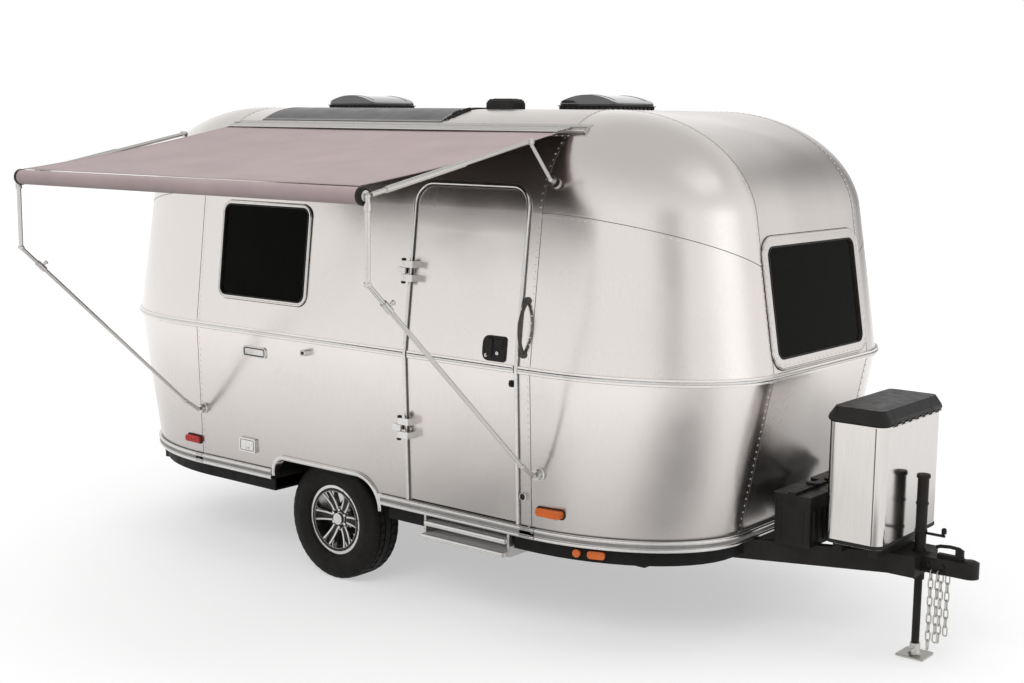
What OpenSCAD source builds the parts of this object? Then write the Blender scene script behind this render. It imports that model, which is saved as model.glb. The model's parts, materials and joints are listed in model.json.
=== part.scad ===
// Riveted aluminium travel caravan with one axle, parked on its tongue jack with the awning out.
// Working coordinates: x forward from the wheel axis, y to the road side from the centre line,
// z up from the ground. The finished part is shifted so that its box is centred on the origin.

/* [Body shell] */
// Width over the skin at the belt line
body_w = 2340; // [2240:10:2440]
// Length over the skin at the belt line
body_l = 4630; // [4600:5:4660]
// Front skin at the belt line, ahead of the wheel axis
body_front = 2550; // [2530:5:2570]
// Height of the belt line
belt_z = 1418; // [1390:1:1440]
// Height of the roof
roof_z = 2712; // [2700:1:2724]
// Height of the walls' foot
wall_z = 575; // [565:1:580]
// Thickness of a whole wall
wall_t = 45; // [35:1:55]
// Radius of the body's corners in plan
corner_r = 660; // [640:5:690]
// Length of an end's rounded part against the corners' radius
end_stretch = 1.45; // [1.43:0.01:1.47]
// Radius of the shoulder between wall and roof
shoulder_r = 576; // [560:1:590]
// Inset of the walls' foot from the belt line
foot_inset = 34; // [24:1:44]
// Extra inset of both ends at the foot
end_rake = 118; // [100:1:130]
// Distance from a corner's start back to the seam of the end shell
seam_back = 48; // [40:1:56]
// Angle up the shoulder at which the roof panel starts
roof_seam_a = 52; // [48:1:53]
// Height of the belt moulding
belt_h = 36; // [24:2:44]
// How far mouldings stand off the skin
belt_proud = 8; // [5:1:10]
// Height of the rub rail
rub_h = 60; // [50:1:62]
// How far the rub rail stands off the skin
rub_proud = 14; // [10:1:18]

/* [Floor and underbelly] */
// Thickness of the floor deck
floor_t = 30; // [24:1:36]
// Depth of the black skirt below the floor
skirt_h = 75; // [60:1:85]
// Inset of the skirt from the walls' foot
skirt_inset = 36; // [28:1:44]
// Thickness of the skirt and belly sheet
skirt_t = 10; // [6:1:14]

/* [Door] */
// Hinge edge of the doorway, ahead of the wheel axis
door_x = 710; // [690:1:730]
// Width of the doorway
door_w = 742; // [720:1:760]
// Height of the doorway's foot
door_foot_z = 616; // [614:1:630]
// Height of the doorway's top
door_top_z = 2312; // [2280:1:2330]
// Radius of the doorway's upper corners
door_corner_r = 100; // [80:1:120]
// Gap round the door leaf
door_gap = 8; // [6:1:10]
// Width of the trim round the doorway
door_trim_w = 20; // [14:1:24]
// How far the trim stands off the skin
door_trim_proud = 11; // [8:1:14]
// Heights of the hinges
hinge_z = [1020, 1860];
// Distance of the hinge axis off the skin at the hinges
hinge_off = 52; // [48:1:60]
// Radius of the hinge barrels
hinge_r = 11; // [9:0.5:12]

/* [Windows] */
// Radius of the windows' corners in the wall
window_r = 45; // [35:1:55]
// Width of the flat window frames
frame_w = 24; // [18:1:30]
// How far window frames stand off the skin
frame_proud = 10; // [6:1:14]
// Thickness of the panes
glass_t = 8; // [6:1:12]

/* [Wheels and axle] */
// Outer radius of the tyres
tyre_r = 349; // [340:1:352]
// Width of the tyres
tyre_w = 225; // [205:1:230]
// How far the tyres' outer faces sit inside the belt line
tyre_tuck = 127.5; // [110:0.5:145]
// Radius of the rims at the lip
rim_r = 203; // [195:1:208]
// Width of the rims
rim_w = 165; // [150:1:180]
// Radius of the wheel spindles
spindle_r = 24; // [20:1:28]
// Side of the square axle tube
axle_s = 76; // [66:1:84]

/* [Chassis and tongue] */
// Height of the frame rails
rail_h = 105; // [95:1:110]
// Width of the frame rails
rail_w = 50; // [40:1:60]
// Distance of the main rails from the centre line
rail_y = 575; // [560:1:590]
// Front face of the tongue's apex block, ahead of the front skin
apex_out = 610; // [590:1:630]
// Length of the ball coupler ahead of the apex block
coupler_l = 270; // [250:1:290]
// Radius of the coupler's ball socket
socket_r = 25.6; // [25.5:0.1:26]
// Tongue jack's distance behind the apex block's front face
jack_back = 36; // [34:1:44]
// Radius of the jack's outer tube
jack_r = 28; // [26:0.5:29]
// Top of the jack
jack_top = 937; // [900:1:980]

/* [Gas locker] */
// Gap between the front skin and the locker
locker_gap = 207; // [195:1:215]
// Depth of the locker, front to rear
locker_d = 306; // [300:1:309]
// Half width of the locker
locker_y = 340; // [330:1:350]
// Underside of the locker
locker_z = 600; // [595:1:605]
// Top of the locker's wrap
locker_top = 1215; // [1180:1:1240]
// Radius of the locker's upright corners
locker_r = 52; // [40:1:60]
// Thickness of the locker's wrap
locker_t = 5; // [4:0.5:8]

/* [Awning] */
// Distance of the roller out from the belt line
awning_reach = 1199; // [1130:1:1230]
// Height of the roller's axis
roller_z = 2327; // [2300:1:2350]
// Radius of the roller with cloth on it
roller_r = 38; // [32:1:42]
// Thickness of the awning cloth
cloth_t = 3; // [2:0.5:4]
// Radius of the awning legs
leg_r = 13; // [11:0.5:15]

/* [Roof vents] */
// Side of a vent's flange
vent_s = 400; // [380:1:420]
// Height of a vent's flange
vent_h = 26; // [20:1:32]
// Height of a vent's domed lid
vent_dome = 58; // [50:1:66]
// Distance of each vent from the roof panel's end
vent_in = [392, 337];

/* [Hidden] */
$fn = 96;

skin = [0.78, 0.77, 0.76];
bright = [0.85, 0.85, 0.85];
dark = [0.08, 0.08, 0.08];
far = 6000;
eps = 0.01;
seat = 0.3;

// Body: the rounded rectangle's straight core, the seams and the walls' section
body_rear = body_front - body_l;
body_mid = body_front - body_l / 2;
core_y = body_w / 2 - corner_r;
core_x = body_front - end_stretch * corner_r;
core_rear = body_rear + end_stretch * corner_r;
seam_x = core_x - seam_back;
shoulder_z = roof_z - shoulder_r;
belt_reach = norm([corner_r, belt_z - shoulder_z]);
lean = atan2(belt_z - shoulder_z, corner_r) + acos(shoulder_r / belt_reach);
foot_h = belt_z - wall_z;
foot_a = atan(foot_inset / foot_h);
rake = end_rake / foot_h;
floor_z = wall_z - floor_t;
rub_z = door_foot_z - 4 - rub_h;
track = body_w - 2 * tyre_tuck - tyre_w;
foot_y = body_w / 2 - foot_inset;
foot_front = body_front - end_stretch * foot_inset - end_rake;
end_lean = atan(end_stretch * tan(lean));
belly_z = floor_z - skirt_h;

// Plan at the walls' foot: half length, and both radii of its corners
foot_steps = 14;
function foot_half(inset) = foot_front - body_mid - inset;
function foot_rx(inset) = end_stretch * (corner_r - foot_inset) - inset;
function foot_r(inset) = corner_r - foot_inset - inset;

// Gap between two lengths of moulding where they meet end to end
butt = 1;

// Distance of the outer skin from the centre line, at a height above or below the belt
function wall_y(z) = z >= belt_z
    ? core_y + (shoulder_r - sin(lean) * (z - shoulder_z)) / cos(lean)
    : core_y + corner_r - (belt_z - z) * tan(foot_a);

// Door hinge axis: it leans with the line through both hinges
hinge_lean = atan2(wall_y(hinge_z[0]) - wall_y(hinge_z[1]), hinge_z[1] - hinge_z[0]);
hinge_x = door_x - 18;
knuckle_h = 36;
hinge_foot = 36;

// Wheel arch: corners of the cut-out in the side wall, and the box that houses the wheel
arch_rear = -tyre_r - 16;
arch_front = tyre_r + 121;
arch_top = 2 * tyre_r - 16;
arch_rear_r = 80;
arch_front_r = 170;
arch_trim_w = 26;
arch_trim_proud = 9;
housing = [arch_rear - 35, arch_front + 35, (track - tyre_w) / 2 - 42.5, arch_top + 118];
housing_t = 10;

// The rear end shell reaches a little way from its corner towards the arch
rear_back = (arch_rear - arch_trim_w - core_rear) * 0.1475;
seam_rear_x = core_rear + rear_back;
vent_x = [seam_x - vent_in[0], seam_rear_x + vent_in[1]];

// Windows: wall's turn about z, centre along the wall, lower edge's height, width, height on the slope,
// width of the surround
side_room = door_x - seam_rear_x;
side_win = [seam_rear_x + side_room * 0.323, side_room * 0.409];
side_sill = belt_z + 200;
side_win_h = (shoulder_z + 8 - side_sill) / cos(lean);
galley_win = [seam_x - 455, 640];
end_sill = belt_z + 83;
end_win_w = 910;
end_win_h = (shoulder_z - 91 - end_sill) / cos(end_lean);
surround_w = 2.4 * frame_w;
windows = [
    [0, side_win[0], side_sill, side_win[1], side_win_h, frame_w],
    [90, 0, end_sill, end_win_w, end_win_h, surround_w],
    [180, side_win[0], side_sill, side_win[1], side_win_h, frame_w],
    [180, galley_win[0], side_sill, galley_win[1], side_win_h - 60, frame_w],
    [-90, 0, end_sill, end_win_w, end_win_h, surround_w],
];

// Tongue rails run from the main rails to the apex block
apex_x = body_front + apex_out;
coupler_tip = apex_x + coupler_l;
jack_x = apex_x - jack_back;
locker_x0 = body_front + locker_gap;
locker_x1 = locker_x0 + locker_d;
apex_l = 140;
apex_y = 140;
tongue_a = 21;
tongue_y = 112;
jack_leg_r = 20;
jack_foot = 140;
frame_rear = 2 * body_mid - foot_front - 22;
bumper_t = 60;
bumper_y = 640;
// Cross members of the frame, and the bars that carry the gas locker
cross_x = [frame_rear * 0.642, -470, 420, 1100, 1700];
tray_x = [locker_x0 + 33, locker_x0 + 223];

// Axle tube ahead of the wheel axis, on pads under the main rails
axle_x = 150;
axle_z = floor_z - rail_h - 8 - axle_s / 2;
brake_r = 118;
hub_r = 70;
hub_face = 42;

// Small fittings of the right wall
latch_x = door_x + door_w - 142;
latch_z = belt_z + 90;
latch_w = 150;
latch_h = 130;
grab_z = belt_z + 212;
grab_l = 270;
grab_out = 52;
grab_r = 9;
grab_x = door_x + door_w + door_trim_w + 26;
// Plates: place ahead of the axis, height, width, height of the plate, corner radius, how far it stands off
plates = [
    [hinge_x - door_w - 10, belt_z - 76, 40, 34, 8, 34],
    [side_win[0] - 42, belt_z - 120, 200, 66, 20, 6],
    [arch_rear - 225, wall_z + 153, 140, 84, 10, 16],
];
port = [door_x + door_w + door_trim_w + 28, wall_z + 193, 22, 10];
// Side lamps: the same columns; then the lamps in the skirt and on the bumper
amber_lamp = [seam_x + 115, wall_z + 131, 150, 40, 14, 22];
red_lamp = [core_rear + rear_back * 0.30, wall_z + 121, 130, 40, 14, 22];

tail_lamp = [150, 60, 20, 16];
// Skirt lamps: place round the corner in degrees from the side, length, height, corner radius, proud
skirt_lamps = [[20.5, 41, 41, 20, 20], [27.5, 92, 40, 16, 16]];
skirt_lamp_z = belly_z + 40;

// Awning: leg planes, rail on the shoulder, knobs, leg feet and bends
leg_x = [seam_rear_x + 30, seam_x + 55];
roller_y = body_w / 2 + awning_reach;
rail_a = 54;
rail_out = 16;
rail_foot = 44;
knob_a = 21.5;
knob_out = 40;
knob_r = 26;
elbow = [-body_w / 2 - 92, roof_z - 160];
rafter_r = 11;
sleeve_l = 530;
leg_foot_z = 900;
foot_proud = 34;
leg_bend_z = roller_z - 377;
leg_knee = [-body_w / 2 - 122, leg_foot_z + 65];

// Flexible solar panel on the right shoulder: ends, lower edge's angle, thickness, width on the flat roof
panel_x = [seam_rear_x + 195, seam_x - 925];
panel_a = 60;
panel_t = 4;
panel_flat = 240;
// Box on the roof: place, length, width, height; then each wire's place, lower end, plug's angle, reach
wire_box = [seam_x - 865, 190, 130, 56];
wire_d = 8;
wires = [[14, 63, 70, 60], [34, 66, 76, 90]];

// Hinge rows of the locker lid and the vents: barrel, pin, pitch of the knuckles and the gap between them
barrel_r = 5;
pin_r = 2.2;
knuckle_pitch = 40;
knuckle_gap = 1;
knuckle_l = knuckle_pitch - knuckle_gap;
hinge_gap = 0.6;
lid_knuckles = 14;
vent_knuckles = 5;

// Locker lid, bottles and batteries
lid_h = 70;
lid_skirt = 24;
lid_lip = 10;
lid_bevel = 22;
bottle_r = 138;
bottle_h = 400;
battery_x = locker_x0 - 167;
battery_y = 195;
battery_l = 200;
battery_w = 320;
battery_h = 230;

// Coupler, jack crank and chains: place and number of links of each strand
ball_z = 490;
coupler_h = 78;
coupler_w = 92;
crank_z = 640;
jack_leg_top = 620;
link_d = 8;
link_r = 11;
link_s = 32;
link_turns = 5;
link_sides = 6;
chain_z = 450;
chain_y = 64;
chain_bar_r = 6;
chain_at = [[apex_x + 55, -chain_y, 9], [apex_x + 90, -chain_y, 8], [apex_x + 55, chain_y, 9],
    [apex_x + 90, chain_y, 8]];
stab_x = [seam_x - 45, body_rear + 300];
stab_y = 760;
step_low_z = 420;

vent_open = 300;
vent_lid_s = vent_s - 12;
lid_t = 5;
vent_rim = 14;

// Folding step stowed under the doorway
step_x = door_x + 90;
step_w = door_w - 152;
step_bay_y = 760;
step_d = 210;
// Treads: how far each stands out past the walls' foot, and its height above the step's foot
step_treads = [[26, 4], [6, 72]];

frame_x = (coupler_tip + body_rear - belt_proud) / 2;
frame_y = (body_w / 2 + belt_proud - roller_y - roller_r) / 2;

module place() {
    translate([-frame_x, -frame_y, 0]) children();
}

module along_x(x0, x1) {
    translate([x0, 0, 0]) rotate([90, 0, 90]) linear_extrude(x1 - x0) children();
}

module along_y(y0, y1) {
    translate([0, y1, 0]) rotate([90, 0, 0]) linear_extrude(y1 - y0) children();
}

module rear_end() {
    translate([2 * body_mid, 0, 0]) mirror([1, 0, 0]) children();
}

module right_and_left() {
    children();
    mirror([0, 1, 0]) children();
}

// Knuckles of a hinge row along y, each with its tab; the fixed half has the odd ones and the pin
module hinge_row(n, fixed) {
    difference() {
        for (i = [0:n - 1]) if ((i % 2 == 1) == fixed)
            translate([0, (i - n / 2) * knuckle_pitch + knuckle_gap / 2, 0]) {
                rotate([-90, 0, 0]) cylinder(r = barrel_r, h = knuckle_l);
                children();
            }
        if (!fixed) rotate([90, 0, 0]) cylinder(r = pin_r + seat, h = far, center = true);
    }
    if (fixed) rotate([90, 0, 0]) cylinder(r = pin_r, h = n * knuckle_pitch - 4, center = true);
}

// Turns the z axis to run from one point towards another
module aim(p, q) {
    v = q - p;
    translate(p) rotate([0, acos(v[2] / norm(v)), atan2(v[1], v[0])]) children();
}

module rod(p, q, r) {
    aim(p, q) cylinder(r = r, h = norm(q - p));
}

module rounded_rect(w, h, r) {
    square([w - 2 * r, h], center = true);
    square([w, h - 2 * r], center = true);
    for (x = [-1, 1], y = [-1, 1]) translate([x * (w / 2 - r), y * (h / 2 - r)]) circle(r);
}

// Half sections: distance from the corner's axis, and height
module shoulder_wedge(from_a) {
    polygon([[0, shoulder_z], [2 * shoulder_r * cos(from_a), shoulder_z + 2 * shoulder_r * sin(from_a)],
        [0, shoulder_z + 2 * shoulder_r]]);
}

// Whole half section: foot, belt and tangent points of the wall line, then the shoulder's arc
function belt_point(inset) = [corner_r - inset * (sin(lean) + sin(foot_a)) / sin(lean + foot_a),
    belt_z - inset * (cos(foot_a) - cos(lean)) / sin(lean + foot_a)];
function foot_rho(inset) = corner_r - foot_inset - inset / cos(foot_a);

module half_section(inset, drop = 0) {
    r = shoulder_r - inset;
    intersection() {
        translate([0, shoulder_z]) circle(r, $fn = 256);
        polygon([[0, shoulder_z], [2 * r * cos(lean), shoulder_z + 2 * r * sin(lean)],
            [2 * r, shoulder_z + 2 * r], [0, shoulder_z + 2 * r]]);
    }
    polygon([[0, wall_z - drop], [foot_rho(inset) - drop * tan(foot_a), wall_z - drop], belt_point(inset),
        [r * cos(lean), shoulder_z + r * sin(lean)], [0, shoulder_z + r / 2]]);
}

// Band of the half section between two depths
module band(t0, t1) {
    difference() {
        half_section(t0);
        half_section(t1, 1);
    }
}

module upper_band(t0, t1) {
    intersection() {
        band(t0, t1);
        translate([0, belt_z]) square(2 * far);
    }
}

module lower_band(t0, t1) {
    intersection() {
        band(t0, t1);
        translate([0, belt_z - far]) square([far, far]);
    }
}

module on_right() {
    mirror([1, 0]) translate([core_y, 0]) children();
}

// Right wall's own band between two depths, for cuts and for what follows the skin
module right_band(x0, x1, t0, t1) {
    along_x(x0, x1) on_right() band(t0, t1);
}

module right_solid(x0, x1) {
    along_x(x0, x1) on_right() half_section(0);
}

// A half section swept round the front end, from one seam to the other, then drawn out lengthwise
module end_sweep(back) {
    for (s = [0, 1]) mirror([0, s, 0]) {
        along_x(-back / end_stretch, 0) on_right() children();
        translate([0, -core_y, 0]) rotate([0, 0, -90]) rotate_extrude(angle = 90, $fn = 256) children();
    }
    along_y(-core_y, core_y) children();
}

module drawn_out() {
    translate([core_x, 0, 0]) scale([end_stretch, 1, 1]) children();
}

module end_run(back) {
    drawn_out() end_sweep(back) children();
}

// The ends' lower walls lean in towards the foot
module raked(back) {
    intersection() {
        multmatrix([[1, 0, rake, -rake * belt_z], [0, 1, 0, 0], [0, 0, 1, 0]]) children();
        translate([core_x - back, -far / 2, 0]) cube([far, far, far]);
    }
}

// Local frame on a wall above the belt: x along the wall, y up its slope, z out of the skin
module on_wall(turn) {
    reach = abs(turn) == 90 ? body_l / 2 : body_w / 2;
    slope = abs(turn) == 90 ? end_lean : lean;
    translate([body_mid, 0, 0]) rotate([0, 0, turn]) translate([0, -reach, belt_z])
        rotate([90 - slope, 0, 0]) children();
}

function slope_v(z) = (z - belt_z) / cos(lean);
function window_u(w) = w[0] == 0 ? w[1] - body_mid : w[0] == 180 ? body_mid - w[1] : w[1];

module at_window(w) {
    v = (w[2] - belt_z) / cos(abs(w[0]) == 90 ? end_lean : lean);
    on_wall(w[0]) translate([window_u(w), v + w[4] / 2, 0]) children();
}

module window_cuts(turn) {
    for (w = windows) if (w[0] == turn) at_window(w)
        translate([0, 0, -2 * wall_t]) linear_extrude(3 * wall_t) rounded_rect(w[3], w[4], window_r);
}

// Cut-outs in the side wall, seen from the side: the wheel arch and the doorway
module arch_shape(grow) {
    foot = wall_z - 200;
    translate([arch_rear - grow, foot])
        square([arch_front - arch_rear + 2 * grow, arch_top - arch_front_r - foot]);
    translate([arch_rear - grow, foot])
        square([arch_front - arch_front_r - arch_rear + grow, arch_top - arch_rear_r - foot]);
    translate([arch_rear + arch_rear_r, foot])
        square([arch_front - arch_front_r - arch_rear - arch_rear_r, arch_top + grow - foot]);
    translate([arch_rear + arch_rear_r, arch_top - arch_rear_r]) circle(arch_rear_r + grow);
    translate([arch_front - arch_front_r, arch_top - arch_front_r]) circle(arch_front_r + grow);
}

module door_shape(grow) {
    w = door_w + 2 * grow;
    r = door_corner_r + grow;
    h = door_top_z + grow - r - door_foot_z + grow;
    translate([door_x - grow, door_foot_z - grow]) square([w, h]);
    translate([door_x - grow + r, door_foot_z - grow]) square([w - 2 * r, h + r]);
    for (x = [door_x - grow + r, door_x + door_w + grow - r])
        translate([x, door_top_z + grow - r]) circle(r);
}

// Side, roof and end panels of the body
module side_panel() {
    along_x(seam_rear_x, seam_x) on_right() difference() {
        band(0, wall_t);
        shoulder_wedge(roof_seam_a);
    }
}

module arch_cut() {
    along_y(-body_w, -core_y) arch_shape(0);
}

module shell_side_right() {
    color(skin) place() difference() {
        side_panel();
        arch_cut();
        along_y(-body_w, -core_y) door_shape(0);
        window_cuts(0);
    }
}

module shell_side_left() {
    color(skin) place() difference() {
        mirror([0, 1, 0]) side_panel();
        mirror([0, 1, 0]) arch_cut();
        window_cuts(180);
    }
}

module shell_roof() {
    color(skin) place() difference() {
        along_x(seam_rear_x, seam_x) {
            for (s = [0, 1]) mirror([s, 0]) on_right() intersection() {
                band(0, wall_t);
                shoulder_wedge(roof_seam_a);
            }
            translate([-core_y, roof_z - wall_t]) square([2 * core_y, wall_t]);
        }
        for (x = vent_x) translate([x, 0, roof_z]) cube([vent_open, vent_open, 3 * wall_t], center = true);
    }
}

// Each end has a domed shell above the belt, with its window, and a leaning foot below it
module end_shell(back) {
    high = end_win_h * cos(end_lean);
    drawn_out() difference() {
        union() {
            end_sweep(back) upper_band(0, wall_t);
            translate([-back / end_stretch, -core_y, roof_z - wall_t])
                cube([back / end_stretch, 2 * core_y, wall_t]);
        }
        translate([0, 0, end_sill + high / 2]) rotate([90, 0, 90]) linear_extrude(far)
            rounded_rect(end_win_w, high + 6, window_r);
    }
}

module end_foot(back) {
    raked(back) end_run(back) lower_band(0, wall_t);
}

module end_shell_front() {
    color(skin) place() end_shell(seam_back);
}

module end_shell_rear() {
    color(skin) place() rear_end() end_shell(rear_back);
}

module end_foot_front() {
    color(skin) place() end_foot(seam_back);
}

module end_foot_rear() {
    color(skin) place() rear_end() end_foot(rear_back);
}

// Plan of the body at the walls' foot, drawn in by an inset
module foot_plan(inset) {
    half = foot_half(inset) - foot_rx(inset);
    side = foot_y - inset - foot_r(inset);
    translate([body_mid, 0]) polygon([for (q = [0:3], i = [0:foot_steps])
        let (a = 90 * (q + i / foot_steps)) [(q == 0 || q == 3 ? half : -half) + foot_rx(inset) * cos(a),
            (q < 2 ? side : -side) + foot_r(inset) * sin(a)]]);
}

module housing_plan(grow) {
    translate([housing[0] - grow, housing[2] - grow])
        square([housing[1] - housing[0] + 2 * grow, body_w]);
}

module cabin_floor() {
    color("tan") place() translate([0, 0, floor_z]) linear_extrude(floor_t) difference() {
        foot_plan(4);
        for (s = [0, 1]) mirror([0, s]) housing_plan(0);
    }
}

// Mouldings that follow the skin
module belt_section() {
    difference() {
        translate([corner_r - belt_proud, belt_z - belt_h / 2]) square([2 * belt_proud, belt_h]);
        half_section(0);
    }
}

module belt_moulding() {
    color(bright) place() {
        difference() {
            right_and_left() along_x(seam_rear_x, seam_x) on_right() belt_section();
            along_y(-body_w, 0) door_shape(door_trim_w);
        }
        end_run(seam_back - butt) belt_section();
        rear_end() end_run(rear_back - butt) belt_section();
    }
}

module rub_section() {
    difference() {
        translate([corner_r - foot_inset - 1, rub_z]) square([rub_proud + 1, rub_h]);
        half_section(0);
        translate([0, rub_z - 1]) square([corner_r - foot_inset, wall_z - rub_z + 1]);
    }
}

module rub_rail() {
    color(bright) place() {
        difference() {
            right_and_left() along_x(seam_rear_x, seam_x) on_right() rub_section();
            right_and_left() along_y(-body_w, -core_y) arch_shape(arch_trim_w);
        }
        raked(seam_back - butt) end_run(seam_back) rub_section();
        rear_end() raked(rear_back - butt) end_run(rear_back) rub_section();
    }
}

module arch_trims() {
    color(bright) place() right_and_left() intersection() {
        right_band(arch_rear - 100, arch_front + 100, -arch_trim_proud, 0);
        along_y(-body_w, -core_y) difference() {
            arch_shape(arch_trim_w);
            arch_shape(0);
        }
    }
}

module wheel_housings() {
    color(dark) place() right_and_left() intersection() {
        along_x(housing[0], housing[1]) on_right() half_section(wall_t);
        difference() {
            translate([housing[0], -body_w, floor_z])
                cube([housing[1] - housing[0], body_w - housing[2], housing[3] - floor_z]);
            translate([housing[0] + housing_t, -body_w - 1, floor_z - 1]) cube([
                housing[1] - housing[0] - 2 * housing_t, body_w - housing[2] - housing_t + 1,
                housing[3] - floor_z - housing_t + 1]);
        }
    }
}

// Frame: main rails, cross members and the tongue's two rails in plan
module frame_plan() {
    tongue_back = [apex_x - apex_l - (rail_y - tongue_y) / tan(tongue_a), rail_y];
    for (s = [0, 1]) mirror([0, s]) {
        translate([frame_rear, rail_y - rail_w / 2]) square([tongue_back[0] - frame_rear, rail_w]);
        translate(tongue_back) rotate(-tongue_a)
            translate([-rail_w / 2, -rail_w / 2]) square([norm([apex_x - apex_l - tongue_back[0],
                rail_y - tongue_y]) + rail_w, rail_w]);
    }
    for (x = cross_x) translate([x, -rail_y]) square([rail_w, 2 * rail_y]);
}

module apex_block() {
    difference() {
        translate([apex_x - apex_l, -apex_y]) square([apex_l, 2 * apex_y]);
        translate([jack_x, 0]) circle(jack_r + seat);
    }
}

module chassis_frame() {
    color(dark) place() {
        translate([0, 0, floor_z - rail_h]) linear_extrude(rail_h) {
            difference() {
                frame_plan();
                translate([apex_x - apex_l, -far / 2]) square(far);
            }
            apex_block();
        }
        for (x = tray_x) translate([x, -locker_y + locker_r, floor_z])
            cube([rail_w, 2 * (locker_y - locker_r), locker_z - floor_z]);
        translate([frame_rear - bumper_t, -bumper_y, floor_z - rail_h])
            cube([bumper_t, 2 * bumper_y, rail_h]);
        for (s = [-1, 1]) translate([apex_x - 10, s * chain_y, chain_z + link_s / 2 + link_r - link_d / 2
            - chain_bar_r - 2 * seat]) rotate([0, 90, 0]) cylinder(r = chain_bar_r, h = 125);
    }
}

module underbelly() {
    color(dark) place() difference() {
        translate([0, 0, belly_z]) linear_extrude(skirt_h) foot_plan(skirt_inset);
        translate([0, 0, belly_z + skirt_t]) linear_extrude(skirt_h) foot_plan(skirt_inset + skirt_t);
        for (s = [0, 1]) mirror([0, s, 0]) translate([0, 0, belly_z - 1]) linear_extrude(skirt_h + 2)
            housing_plan(housing_t);
        translate([0, 0, belly_z - 1]) linear_extrude(skirt_h + 2) frame_plan();
        translate([step_x - 12, -body_w, belly_z - 1])
            cube([step_w + 24, body_w - step_bay_y, skirt_h + 2]);
    }
}

// Running gear: torsion axle, trailing arms and spindles; the wheels turn on the spindles
module axle() {
    arm_y = (track - tyre_w) / 2 - 34;
    color(dark) place() {
        translate([axle_x, 0, axle_z]) cube([axle_s, 2 * arm_y, axle_s], center = true);
        for (s = [-1, 1]) {
            translate([axle_x, s * rail_y, (axle_z + axle_s / 2 + floor_z - rail_h) / 2])
                cube([axle_s + 60, rail_w, floor_z - rail_h - axle_z - axle_s / 2], center = true);
            translate([0, s * arm_y, 0]) rotate([90, 0, 0]) translate([0, 0, -14]) linear_extrude(28) {
                translate([axle_x, axle_z]) circle(axle_s / 2 - 1);
                translate([0, tyre_r]) circle(axle_s / 2 - 4);
                polygon([[0, tyre_r + 30], [axle_x, axle_z + 30], [axle_x, axle_z - 30], [0, tyre_r - 30]]);
            }
            translate([0, s * (arm_y + 14), tyre_r]) rotate([-90 * s, 0, 0]) {
                cylinder(r = brake_r, h = 64);
                cylinder(r = spindle_r, h = track / 2 - arm_y - 14 + hub_face + 10);
            }
        }
    }
}

module at_wheel(s) {
    translate([0, s * track / 2, tyre_r]) rotate([-90 * s, 0, 0]) children();
}

module tyre() {
    w = tyre_w / 2;
    rotate_extrude($fn = 180) {
        difference() {
            union() {
                translate([rim_r, -w + 22]) square([tyre_r - rim_r, tyre_w - 44]);
                translate([rim_r, -w + 8]) square([tyre_r - 34 - rim_r, tyre_w - 16]);
                for (s = [-1, 1]) {
                    translate([tyre_r - 26, s * (w - 26)]) circle(26);
                    intersection() {
                        translate([(rim_r + tyre_r) / 2 - 4, s * (w - 70)]) circle(70);
                        translate([rim_r, -w]) square([tyre_r - rim_r, tyre_w]);
                    }
                }
            }
            translate([0, -rim_w / 2]) square([rim_r + 22, rim_w]);
            translate([0, -tyre_w]) square([rim_r + seat, 2 * tyre_w]);
        }
    }
}

module tyre_right() {
    color(dark) place() at_wheel(-1) tyre();
}

module tyre_left() {
    color(dark) place() at_wheel(1) tyre();
}

// Wheel: barrel with two lips, and a disc of six twin spokes round the hub
module at_nuts() {
    for (a = [0:5]) rotate(30 + a * 60) translate([hub_r * 0.74, 0, hub_face - 9]) children();
}

module rim() {
    lip = 14;
    difference() {
        union() {
            rotate_extrude() {
                translate([rim_r - 34, -rim_w / 2]) square([12, rim_w]);
                for (z = [-rim_w / 2, rim_w / 2 - lip]) translate([rim_r - 34, z]) square([34, lip]);
            }
            translate([0, 0, hub_face - 44]) cylinder(r = hub_r, h = 44);
            translate([0, 0, hub_face]) cylinder(r = hub_r * 0.48, h = 22);
            for (a = [0:5]) rotate(a * 60) for (s = [-1, 1])
                translate([0, 0, hub_face - 26]) linear_extrude(30) polygon([
                    [hub_r - 14, s * 4], [rim_r - 28, s * 10], [rim_r - 28, s * 34], [hub_r - 14, s * 22]]);
        }
        translate([0, 0, -rim_w]) cylinder(r = spindle_r + seat, h = rim_w + hub_face + 12);
        at_nuts() cylinder(r = 11, h = 30);
    }
    at_nuts() cylinder(r = 9, h = 20, $fn = 6);
}

module rim_right() {
    color(bright) place() at_wheel(-1) rim();
}

module rim_left() {
    color(bright) place() at_wheel(1) rim();
}

// Windows: flat raised frames on the skin and dark panes in the cut-outs
module window_frames() {
    color(bright) place() for (w = windows) at_window(w) difference() {
        linear_extrude(frame_proud) rounded_rect(w[3] + 2 * w[5], w[4] + 2 * w[5], window_r + w[5]);
        translate([0, 0, -1]) linear_extrude(frame_proud + 2)
            rounded_rect(w[3] - 8, w[4] - 8, window_r - 4);
    }
}

module window_glass() {
    color([0.03, 0.03, 0.035]) place() for (w = windows) at_window(w)
        translate([0, 0, -glass_t]) linear_extrude(glass_t)
            rounded_rect(w[3] - 1, w[4] - 1, window_r - 0.5);
}

// Door: a piece of the wall on a leaning hinge axis, with its belt moulding
module door_leaf() {
    color(skin) place() intersection() {
        union() {
            right_band(door_x, door_x + door_w, 0, wall_t);
            along_x(door_x, door_x + door_w) on_right() belt_section();
        }
        along_y(-body_w, -core_y) door_shape(-door_gap);
    }
}

module door_frame() {
    color(bright) place() intersection() {
        right_band(door_x - 100, door_x + door_w + 100, -door_trim_proud, 0);
        along_y(-body_w, -core_y) difference() {
            door_shape(door_trim_w);
            door_shape(0);
            translate([door_x - 200, door_foot_z - 200]) square([door_w + 400, 200 + eps]);
        }
    }
}

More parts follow.
